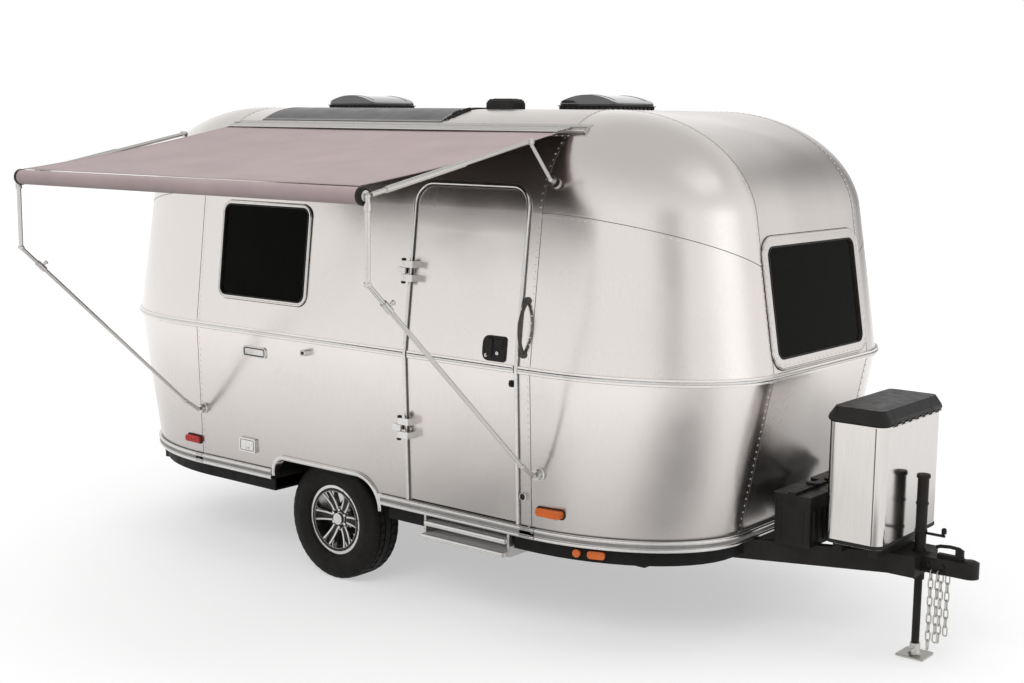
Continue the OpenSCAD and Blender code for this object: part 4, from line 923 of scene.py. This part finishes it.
def makeVents():
    flange, lugs = [], []
    s, middle = vent["size"], (vent["lugs"] - 1) / 2
    for x in vent["x"].values():
        p, n = roofFlat(x, 0)
        ring = [(p + Vector((a, b, 0)), n) for a, b in rounded(s + 0.036, s + 0.036, 0.046)]
        flange.append(band(ring, 0.040, 0.0024, closed=True))
        base = [(p + Vector((a, b, vent["high"] - 0.004)), n) for a, b in rounded(s + 0.004, s + 0.004, 0.032)]
        lugs.append(band(base, 0.012, 0.0035, closed=True))
        for way in range(4):
            a = radians(90 * way)
            out, side = Vector((cos(a), sin(a), 0)), Vector((-sin(a), cos(a), 0))
            for k in range(vent["lugs"]):
                at = p + out * (s / 2 - 0.001) + side * ((k - middle) * vent["lugPitch"]) + upward * 0.011
                lugs.append(slab(rounded(*vent["lug"]), at, out, 0, 0.007, 0.002))
    makePiece("vent_flanges", flange, "skin")
    makePiece("vent_lugs", lugs, "black_plastic", sharp=35)


def makeVentRims():
    half, rise, flat = vent["half"], vent["rise"], vent["flat"]
    archR = (half * half + rise * rise) / (2 * rise)
    top = roofTop + vent["high"]
    for end, x in vent["x"].items():
        ring = []
        for u, v in rounded(2 * half, 2 * half, 0.030):
            out = Vector((u if abs(u) > flat else 0, v if abs(v) > flat else 0, 0)).normalized()
            ring.append((spot(x, 0, top + vent["rimUp"]) + Vector((u, v, 0)), out))
        rim = [bead(ring, 0.012, 0.004, closed=True)]
        for y in (-vent["ribY"], vent["ribY"]):
            run = []
            for dx in between(-vent["ribHalf"], vent["ribHalf"], 16):
                n = Vector((dx, 0, sqrt(archR * archR - dx * dx))).normalized()
                run.append((spot(x, y, top + vent["crown"] - archR) + n * archR, n))
            rim.append(bead(run, 0.008, 0.0022))
        makePiece("vent_rim_" + end, rim, "smoked_lid", "vent_" + end)


# solar panel's border, its wiring box, and two cables from the one to the other
panel = {"x": (-0.82003, 0.620), "angle": 61.2, "inner": -0.282, "edge": 0.008, "thick": 0.0042,
         "border": (0.014, 0.0008)}
wiring = {"boxX": (0.680, 0.870), "boxY": (-0.500, -0.370), "boxH": 0.056, "bodyH": 0.038, "ribs": 5,
          "ribPitch": 0.026,
          "glandY": (-0.450, -0.420), "gland": [(0.0085, 0), (0.0085, 0.010), (0.0062, 0.020)], "radius": 0.004,
          "lift": 0.0003,
          "turn": 0.026, "swing": 0.010,
          "plug": [(0.0052, -0.034), (0.0078, -0.030), (0.0078, -0.006), (0.0090, -0.004),
                                                  (0.0090, 0.004), (0.0074, 0.006), (0.0074, 0.028), (0.0052, 0.034)],
          "cables": (("panel_wire_outer", 0.018, 63, 72, -0.450), ("panel_wire_inner", 0.038, 66, 78, -0.420))}


def makePanelBorder():
    x0, x1 = panel["x"][0] + panel["edge"], panel["x"][1] - panel["edge"]
    t, low, inner = panel["thick"], panel["angle"], panel["inner"]
    edge = [roofArc(-1, x, low, t) for x in between(x0, x1, 20)]
    edge += [roofArc(-1, x1, a, t) for a in between(low, 90, 10)[1:]]
    edge += [roofFlat(x1, y, t) for y in between(-coreY, inner, 5)[1:]]
    edge += [roofFlat(x, inner, t) for x in between(x1, x0, 20)[1:]]
    edge += [roofFlat(x0, y, t) for y in between(inner, -coreY, 5)[1:]]
    edge += [roofArc(-1, x0, a, t) for a in between(90, low, 10)[1:-1]]
    makePiece("panel_border", [band(edge, *panel["border"], closed=True)], "solar_sheet", mat="vinyl")


def makeWiringBox():
    (a, b), (c, d), top = wiring["boxX"], wiring["boxY"], wiring["boxH"]
    p, n = roofFlat((a + b) / 2, (c + d) / 2)
    parts = [slab(rounded(b - a, d - c, 0.016), p, n, -0.0005, wiring["bodyH"], 0.004, ahead)]
    parts.append(slab(rounded(b - a - 0.008, d - c - 0.008, 0.016), p, n, wiring["bodyH"] - 0.001, top, 0.012, ahead))
    for k in range(wiring["ribs"]):
        at = p + ahead * (k - 2) * wiring["ribPitch"]
        parts.append(slab(rounded(0.008, d - c - 0.050, 0.003, 3), at, n, top - 0.001, top + 0.0025, 0.001, ahead))
    for y in wiring["glandY"]:
        parts.append(lathe(wiring["gland"], spot(a + 0.002, y, roofTop + 0.009), -ahead, 14))
    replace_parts(makePiece("wiring_box", parts, "black_plastic", sharp=35), "roof_wiring")


def wirePath(out, lowA, stop):
    # from the panel's edge up the shoulder, over the roof and round into the box
    x1, turn, lift = panel["x"][1], wiring["turn"], wiring["radius"] + wiring["lift"]
    edge, z = 0.0006, roofTop + lift
    path = [roofArc(-1, x1 + edge + (out - edge) * sin(q), lowA + 2 * (1 - cos(q)), lift)[0] for q in quarter(8)]
    for angle in between(lowA + 2, 90, 18)[1:]:
        swing = wiring["swing"] * sin((angle - lowA - 2) / (88 - lowA) * pi * 2)
        path.append(roofArc(-1, x1 + out + swing, angle, lift)[0])
    path += [spot(x1 + out, y, z) for y in between(-coreY, stop - turn, 5)[1:]]
    path += [spot(x1 + out + turn - turn * cos(q), stop - turn + turn * sin(q), z) for q in quarter(8)[1:]]
    start, reach = path[-1].x - offX, wiring["boxX"][0] - 0.016
    if reach > start + 0.004:
        path += [spot(x, stop, z + 0.15 * (x - start)) for x in between(start, reach, 3)[1:]]
    return path


def makeWires():
    r = wiring["radius"]
    for name, out, lowA, plugA, stop in wiring["cables"]:
        path = wirePath(out, lowA, stop)
        cable = makePiece(name, [tube(path, r, 10)], "black_plastic", mat="gasket")
        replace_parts(cable, "roof_wiring")
        q, m = roofArc(-1, panel["x"][1] + out, plugA, r)
        plug = lathe(wiring["plug"], q + m * 0.004, Vector((0, m.z, -m.y)).normalized(), 16)
        tip = makePiece(name + "_plug", [plug], "black_plastic", sharp=35)


makeVents()
makeVentRims()
makePanelBorder()
makeWiringBox()
makeWires()
print("roof done")

# tongue: locker base and catch
locker = {"x": (2.757, 3.063), "y": 0.340, "z": (0.600, 1.215), "radius": 0.052, "lapIn": 0.046,
          "knob": [(0.012, 0.008), (0.015, 0.012), (0.015, 0.026), (0.011, 0.031)]}


def lockerRun(z, grow):
    a, b = locker["x"]
    mid = spot((a + b) / 2, 0, z)
    run = []
    outline = rounded(b - a + 2 * grow, 2 * (locker["y"] + grow), locker["radius"] + grow, 8)
    for i, (x, y) in enumerate(outline):
        p, q = outline[i - 1], outline[(i + 1) % len(outline)]
        run.append((mid + Vector((x, y, 0)), Vector((q[1] - p[1], p[0] - q[0], 0)).normalized()))
    return run


def makeLocker():
    low, high = locker["z"]
    rings = ((low + 0.010, 0.020, 0.005), (high - 0.004, 0.007, 0.004))
    makePiece("locker_gaskets", [bead(lockerRun(z, 0), wide, up, closed=True) for z, wide, up in rings],
              "black_plastic", mat="gasket")
    makePiece("locker_lid_rim", [bead(lockerRun(high + 0.012, 0.0095), 0.016, 0.004, closed=True)], "locker_cover",
              "locker_lid")
    # thin dark lines of painted shade at the lap joints near the front corners
    laps = []
    for side in (-1, 1):
        heights = between(low + 0.022, high - 0.012, 6)
        run = [(spot(locker["x"][1] - locker["lapIn"], side * locker["y"], z), leftward * side) for z in heights]
        laps.append(band(run, 0.006, 0.0010))
    makePiece("locker_laps", laps, "polished_wrap", mat="shade_line")
    back = spot(locker["x"][0] - 0.010, 0, high + 0.012)
    catch = [slab(rounded(0.050, 0.026, 0.006), back, -ahead, -0.001, 0.010, 0.003),
             lathe(locker["knob"], back, -ahead, 18)]
    makePiece("locker_lid_knob", catch, "black_plastic", "locker_lid", sharp=35)


# battery boxes: middle of one, its length, width and height, the tray's height, and the ribs
battery = {"at": (2.590, 0.195), "size": (0.200, 0.320, 0.230), "floor": 0.545, "ribWide": 0.012, "ribR": 0.005,
           "ribPitch": 0.058,
           "endRib": 0.062}


def makeBatteries():
    (x, y), (long, wide, tall) = battery["at"], battery["size"]
    outline = rounded(battery["ribWide"], tall * 0.72, battery["ribR"], 4)
    ribs = []
    for side in (-1, 1):
        mid = spot(x, side * y, battery["floor"])
        for way in (-1, 1):
            spots = [(Vector((way * long / 2, (k - 2) * battery["ribPitch"], tall * 0.46)), ahead) for k in range(5)]
            spots += [(Vector((k * battery["endRib"], way * wide / 2, tall * 0.46)), leftward) for k in (-1, 1)]
            ribs += [slab(outline, mid + at, facing * way, -0.001, 0.006, 0.003) for at, facing in spots]
        buckle = mid + Vector((0, 0.06, tall + 0.048))
        ribs.append(slab(rounded(0.060, 0.046, 0.008), buckle, upward, -0.001, 0.010, 0.004, ahead))
    makePiece("battery_ribs", ribs, "black_plastic", sharp=35)


# jack: rings on its tube by height, radius and thickness, the crank's grip, the foot's shoe and pin
jack = {"x": 3.124, "rings": ((0.649, 0.028, 0.004), (0.789, 0.028, 0.004), (0.9265, 0.032, 0.0025)),
        "grip": (0.120, 0, 0.650),
        "gripTurned": [(0.008, 0), (0.0125, 0.003), (0.0130, 0.018), (0.0115, 0.027), (0.006, 0.031)],
        "shoe": [(0.0360, 0.0085), (0.0300, 0.016), (0.0265, 0.022), (0.0265, 0.060), (0.0252, 0.066)],
        "pin": [(0.0045, -0.036), (0.0075, -0.034), (0.0075, 0.034), (0.0045, 0.036)], "pinZ": 0.046}


def makeJack():
    foot = spot(jack["x"], 0, 0)
    parts = []
    for z, radius, high in jack["rings"]:
        turns = [2 * pi * i / 32 for i in range(32)]
        ring = [(foot + Vector((radius * cos(a), radius * sin(a), z)), Vector((cos(a), sin(a), 0))) for a in turns]
        parts.append(bead(ring, 0.018, high, sink=0.0005, closed=True))  # hollow, so the leg can pass
    parts.append(lathe(jack["gripTurned"], foot + Vector(jack["grip"]), upward, 18))
    makePiece("jack_rings", parts, "black_steel", sharp=35)
    shoe = [slab(rounded(0.146, 0.146, 0.012), foot, upward, 0.0003, 0.0105, 0.002, ahead),
            lathe(jack["shoe"], foot, upward, 28)]
    shoe.append(lathe(jack["pin"], foot + upward * jack["pinZ"], leftward, 14))
    makePiece("jack_shoe", shoe, "zinc", "jack", sharp=35)


# coupler: dome over the ball, latch handle and bolts, ahead of the apex
coupler = {"apex": 3.160, "noseBack": 0.046, "noseZ": 0.534,
           "nose": [(0.0405, -0.004), (0.0385, 0.003), (0.030, 0.008), (0.012, 0.0105)],
           "handle": ((0.186, 0.578), (0.168, 0.589), (0.120, 0.592), (0.070, 0.587), (0.050, 0.580)),
           "handleR": 0.009,
           "boltX": (0.030, 0.105), "boltY": 0.046, "boltZ": 0.495,
           "bolt": [(0.015, -0.001), (0.015, 0.003), (0.011, 0.003), (0.011, 0.010), (0.009, 0.011)]}


def makeCoupler():
    apex = coupler["apex"]
    parts = [lathe(coupler["nose"], spot(couplerTip - coupler["noseBack"], 0, coupler["noseZ"]), upward, 28)]
    parts.append(tube([spot(apex + x, 0, z) for x, z in coupler["handle"]], coupler["handleR"], 12))
    for side in (-1, 1):
        for x in coupler["boltX"]:
            at = spot(apex + x, side * coupler["boltY"], coupler["boltZ"])
            parts.append(lathe(coupler["bolt"], at, leftward * side, 6))
    makePiece("coupler_fittings", parts, "black_steel", sharp=35)


makeLocker()
makeBatteries()
makeJack()
makeCoupler()
print("tongue done")

# lamps: x (y for the tail), z, width, height; then bezels and lens ribs
lamps = {"amber": (1.660, 0.706, 0.150, 0.040), "red": (shell["coreRear"] + 0.10797 * 0.30, 0.696, 0.130, 0.040),
         "tail": (0.520, 0.4925, 0.150, 0.060), "stand": 0.0222, "tailDeep": 0.016, "pitch": 0.015, "rib": 0.006,
         "ribR": 0.0028}


def lensRibs(p, n, way, count, tall, top, chamfer):
    outline = rounded(lamps["rib"], tall, lamps["ribR"], 4)
    offsets = [(k - (count - 1) / 2) * lamps["pitch"] for k in range(count)]
    return [slab(outline, p + way * off, n, -0.001, top, chamfer) for off in offsets]


def onCorner(x, z):
    # the right wall at x, or the corner beyond it
    if shell["coreRear"] < x < shell["coreX"]:
        return wall(-1, x, z)
    end = 1 if x > 0 else -1
    shift = end * rake * (z - beltZ)
    s = max(0.0, min(1.0, end * (x - endCore[end] - shift) / (stretch * section(z)[0])))
    return corner(-1, end, degrees(asin(s)), z)


def makeLamps():
    ribs, bezels = {}, []
    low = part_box("red_lamps")[0]
    for slot, count in (("amber", 9), ("red", 8)):
        x, z, wide, tall = lamps[slot]
        ribs[slot] = lensRibs(*onFace(x, z, lamps["stand"]), ahead, count, tall - 0.012, 0.0022, 0.0012)
    y, z, wide, tall = lamps["tail"]
    for side in (-1, 1):
        at = Vector((low.x - 0.0001, offY + side * y, z))
        ribs["red"] += lensRibs(at, -ahead, leftward, 9, tall - 0.014, 0.0015, 0.001)
        ring = ringRun(at + ahead * (lamps["tailDeep"] - 0.001), -ahead, rounded(wide + 0.010, tall + 0.010, 0.024))
        bezels.append(bead(ring, 0.014, 0.006, closed=True))
    for slot in ("amber", "red"):
        x, z, wide, tall = lamps[slot]
        run = [onCorner(x + u, z + v) for u, v in rounded(wide + 0.008, tall + 0.008, 0.018)]
        bezels.append(bead(run, 0.009, 0.007, closed=True))
        makePiece(slot + "_ribs", ribs[slot], slot, sharp=35)
    makePiece("lamp_bezels", bezels, "black_plastic", mat="gasket")


# entry step: ends of the treads, their front edge, how far each stands out, its top, ridges and lip
step = {"x": (0.816, 1.374), "front": -1.136, "treads": ((0.026, 0.450), (0.006, 0.518)), "rows": 7, "first": 0.018,
        "pitch": 0.014,
        "lipDown": 0.013, "ridge": (0.006, 0.0022), "lip": (0.024, 0.004)}


def makeStep():
    ridges, edges = [], []
    ends = between(*step["x"], 2)
    for out, top in step["treads"]:
        front, lipZ = step["front"] - out, top - step["lipDown"]
        for k in range(step["rows"]):
            y = front + step["first"] + k * step["pitch"]
            ridges.append(bead([(spot(x, y, top), upward) for x in ends], *step["ridge"]))
        edges.append(bead([(spot(x, front, lipZ), -leftward) for x in ends], *step["lip"]))
        for x, way in ((ends[0], -1), (ends[-1], 1)):
            at = spot(x + way * 0.001, front + 0.024, lipZ)
            edges.append(slab(rounded(0.030, 0.022, 0.005), at, ahead * way, 0, 0.004, 0.0015))
    makePiece("step_ridges", ridges, "step_metal")
    makePiece("step_edges", edges, "bright_trim", sharp=35)


makeLamps()
makeStep()

# tyres: round shoulders, four ribs, cross cuts
# side: in from the edge, out from the rim; crown: in from the edge, below the top, kind of tread
tyre = {"radius": 0.349, "width": 0.225, "rimR": 0.2035, "segments": 168, "cuts": {1: 0.0021, 2: 0.0063},
        "side": [(0.030, 0), (0.018, 0.004), (0.010, 0.014), (0.004, 0.034), (0.0008, 0.058), (0.0006, 0.070),
                 (0.002, 0.074),
                 (0.004, 0.090)],
        "crown": [(0.008, 0.036, 0), (0.011, 0.026, 1), (0.018, 0.012, 1), (0.030, 0.0035, 1), (0.045, 0.001, 1),
                  (0.0455, 0.008, 9),
                  (0.0535, 0.008, 9), (0.054, 0.0005, 2), (0.084, 0, 2), (0.0845, 0.008, 9), (0.0925, 0.008, 9),
                  (0.093, 0, 3)]}


def wheelMiddle(node):
    low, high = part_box(node)
    mid = (low + high) / 2
    return mid, -1 if mid.y < offY else 1


def makeTyre(side):
    mid, out = wheelMiddle("tyre_" + side)
    w, n = tyre["width"] / 2, tyre["segments"]
    half = [(w - a, tyre["rimR"] + b, 0) for a, b in tyre["side"]]
    half += [(w - a, tyre["radius"] - b, k) for a, b, k in tyre["crown"]]
    profile = half + [(-a, b, k) for a, b, k in half[::-1]]
    rings = []
    for i in range(n):
        a = 2 * pi * i / n
        ring = []
        for across, r, kind in profile:
            turn = (i + (1 if kind == 2 else 0) + (2 if across < 0 else 0)) % 4
            if turn == 0:
                r -= tyre["cuts"].get(kind, 0)
            ring.append(Vector((mid.x + r * cos(a), mid.y + out * across, mid.z + r * sin(a))))
        rings.append(ring)
    verts, faces = skinned(rings, closed=True)
    if out < 0:
        faces = [corners[::-1] for corners in faces]
    piece = makePiece("tread_" + side, [(verts, faces)], "tyre", "wheel_" + side, smooth=False)
    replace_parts(piece, "tyre_" + side)


# wheel faces: twin bars that rise to the lip; dark pockets between them and a dark ring on the lip, painted shade
# standing in for the shaded openings; a dark nut circle
face = {"spokes": 6, "hub": 0.058, "lip": 0.188, "spokeZ": 0.046, "lipZ": 0.0825, "hubZ": 0.042, "barHub": 0.0165,
        "barLip": 0.0285,
        "bar": [(-0.0055, -0.006), (-0.0055, 0.0014), (-0.0042, 0.0026), (0.0042, 0.0026), (0.0055, 0.0014),
                (0.0055, -0.006)],
        "pocket": [(-1, -0.002), (-1, 0.0006), (1, 0.0006), (1, -0.002)], "pocketLong": 0.116, "nutR": 0.0518,
        "nutIn": 0.010,
        "nut": [(0.0085, 0), (0.0085, 0.016), (0.0065, 0.019), (0.002, 0.020)],
        "rings": ((0.1695, 0.1875, 0.0825), (0.0350, 0.0690, 0.042))}


def makeFace(side):
    mid, facing = wheelMiddle("rim_" + side)
    out = leftward * facing
    spread, rise = face["barLip"] - face["barHub"], face["lipZ"] - face["spokeZ"]

    def onWheel(angle, along, across, z):
        a = radians(angle)
        radial = Vector((cos(a), 0, sin(a)))
        return mid + radial * along + out.cross(radial) * across + out * z

    bars, paint = [], []
    for k in range(face["spokes"]):
        angle = 360 * k / face["spokes"]
        for way in (-1, 1):
            run = []
            for t in between(0, 1, 10):
                along, across = face["hub"] + (face["lip"] - face["hub"]) * t, way * (face["barHub"] + spread * t)
                run.append((onWheel(angle, along, across, face["spokeZ"] + rise * t ** 2.2), out))
            bars.append(strip(run, face["bar"]))
        pocket = [(onWheel(angle, face["hub"] + face["pocketLong"] * t, 0, face["spokeZ"] + 0.0002), out)
                  for t in between(0, 1, 6)]
        rings = []
        for i, (point, n) in enumerate(pocket):
            half = face["barHub"] + spread * (i / 6) * 0.9 - 0.004
            cross = sideways(pocket, i)
            rings.append([point + cross * across * half + n * lift for across, lift in face["pocket"]])
        # painted shade: a dark pocket between the bars in place of the shaded opening
        paint.append(skinned(rings))
        nut = onWheel(angle + 180 / face["spokes"], face["nutR"], 0, face["hubZ"] - face["nutIn"])
        bars.append(lathe(face["nut"], nut, out, 6))
    # dark rings: painted shade inside the lip, and the dark nut circle at the hub
    for inner, outer, z in face["rings"]:
        ring = [(onWheel(5 * i, (inner + outer) / 2, 0, z), out) for i in range(72)]
        paint.append(band(ring, outer - inner, 0.0006, closed=True))
    makePiece("rim_bars_" + side, bars, "wheel", "wheel_" + side, sharp=35)
    makePiece("rim_shade_and_paint_" + side, paint, "wheel", "wheel_" + side, "wheelShadeAndHubPaint", smooth=False)


for side in ("right", "left"):
    makeTyre(side)
for side in ("right", "left"):
    makeFace(side)
print("running gear done")

# stage: white floor and world, soft lamps, soft-edged cards that only the metal sees
studio = {"floor": 40, "albedo": 0.60, "worldFill": 0.75, "zenith": 0.66, "floorGlow": (4.0, 9.0, 0.47, 0.63),
          "lampShape": 0.6,
          "lamps": [("keyPanel", (2.5, -7.5, 7.0), (0.3, 0, 1.0), 6.0, 230),
                    ("topPanel", (0.0, 0.5, 8.5), (0, 0, 0), 8.0, 150)]}
# name, middle of the foot, direction it faces away, width, length, lies flat, cover, glow
cards = [("besideCamera", (8.2, -9.1, 0), -49, 6.0, 7.0, False, 0.42, 0),
         ("brightFront", (12.3, -0.6, 0), -3, 12.5, 7.0, False, 1.0, 1.38),
         ("farSide", (2.8, 11.7, 0), 78, 16.0, 11.0, False, 0.70, 0),
         ("farLow", (-3.1, 11.6, 0), 105, 8.0, 4.5, False, 0.60, 0),
         ("lowCorner", (2.9, -1.3, 0.004), -44, 3.6, 2.6, True, 0.68, 0),
         ("lowEnd", (3.4, 0.9, 0.004), 90, 3.0, 3.0, True, 0.50, 0),
         ("lowDoor", (0.10, -2.0, 0.004), -90, 3.2, 2.0, True, 0.52, 0),
         ("overDome", (7.6, -4.2, 9.0), 90, 8.5, 7.0, True, 1.0, 1.08)]


def flatMesh(name, x0, x1, y0, y1, mat):
    mesh = bpy.data.meshes.new(name)
    mesh.from_pydata([(x0, y0, 0), (x1, y0, 0), (x1, y1, 0), (x0, y1, 0)], [], [(0, 1, 2, 3)])
    mesh.materials.append(mat)
    return addObject(name, mesh)


def seenRays(tree):
    path = tree.nodes.new("ShaderNodeLightPath")
    total = path.outputs["Is Camera Ray"]
    for ray in ("Is Glossy Ray", "Is Transmission Ray"):
        total = add(tree, "ShaderNodeMath", {0: total, 1: path.outputs[ray]}, "Value", "MAXIMUM")
    return path, total


def buildFloor():
    s, pale = studio["floor"], studio["albedo"]
    mat, tree, shader = nodeMaterial("whiteFloor")
    away = add(tree, "ShaderNodeVectorMath", {0: coords(tree)}, "Value", "LENGTH")
    glow = ramp(tree, away, *studio["floorGlow"])
    feed(tree, shader, {"Base Color": tint(tree, noise(tree, 0.8), (pale,) * 3, (pale + 0.02,) * 3), "Roughness": 0.9,
                        "Specular IOR Level": 0.05, "Emission Color": (1, 1, 1, 1),
                        "Emission Strength": times(tree, glow, seenRays(tree)[1])})
    floor = flatMesh("studioFloor", -s, s, -s, s, mat)
    floor.location.z = -0.001


def buildWorld():
    world = bpy.data.worlds.new("studioWorld")
    scene.world = world
    world.use_nodes = True
    tree = world.node_tree
    path, seen = seenRays(tree)
    toward = add(tree, "ShaderNodeTexCoord", {}, "Generated")
    up = add(tree, "ShaderNodeSeparateXYZ", {"Vector": toward}, "Z")
    ceiling = ramp(tree, up, 0.30, 0.85, 1.0, studio["zenith"])
    plain = ramp(tree, seen, 0, 1, studio["worldFill"], 1.0)
    dim = add(tree, "ShaderNodeMix", {0: path.outputs["Is Glossy Ray"], 2: plain, 3: ceiling}, 0)
    feed(tree, tree.nodes["Background"], {"Color": (1, 1, 1, 1), "Strength": dim})


def buildLamps():
    for name, at, aim, size, power in studio["lamps"]:
        data = bpy.data.lights.new(name, "AREA")
        data.shape = "RECTANGLE"
        data.size = size
        data.size_y = size * studio["lampShape"]
        data.energy = power
        lamp = addObject(name, data)
        lamp.location = at
        lamp.rotation_euler = (Vector(aim) - Vector(at)).to_track_quat("-Z", "Y").to_euler()
        lamp.visible_glossy = False


def cardMaterial(name, cover, glow):
    # cloth that thins out towards its edges, dark or lit
    mat, tree, shader = nodeMaterial(name)
    split = tree.nodes.new("ShaderNodeSeparateXYZ")
    feed(tree, split, {"Vector": add(tree, "ShaderNodeTexCoord", {}, "Generated")})
    edges = []
    for axis, soft in (("X", 0.5), ("Y", 0.25)):
        off = add(tree, "ShaderNodeMath", {0: split.outputs[axis], 1: 0.5}, "Value", "PINGPONG")
        fade = ramp(tree, off, 0.0, soft, 0.0, 1.0)
        fade.node.interpolation_type = "SMOOTHSTEP"
        edges.append(fade)
    feed(tree, shader, {"Base Color": (0.02, 0.02, 0.02, 1), "Roughness": 0.9, "Specular IOR Level": 0,
                        "Emission Color": (1, 1, 1, 1), "Emission Strength": glow,
                        "Alpha": ramp(tree, times(tree, *edges), 0, 1, 0, cover)})
    return mat


def buildCards():
    for name, foot, azimuth, wide, tall, flat, cover, glow in cards:
        card = flatMesh(name, -wide / 2, wide / 2, 0, tall, cardMaterial(name + "Cloth", cover, glow))
        turn = Matrix.Rotation(radians(azimuth - 90), 4, "Z")
        if not flat:
            turn = turn @ Matrix.Rotation(pi / 2, 4, "X")
        card.matrix_world = Matrix.Translation(spot(*foot)) @ turn
        card.visible_camera = False
        card.visible_shadow = False
        card.visible_diffuse = False


buildFloor()
buildWorld()
buildLamps()
buildCards()
print("stage set")
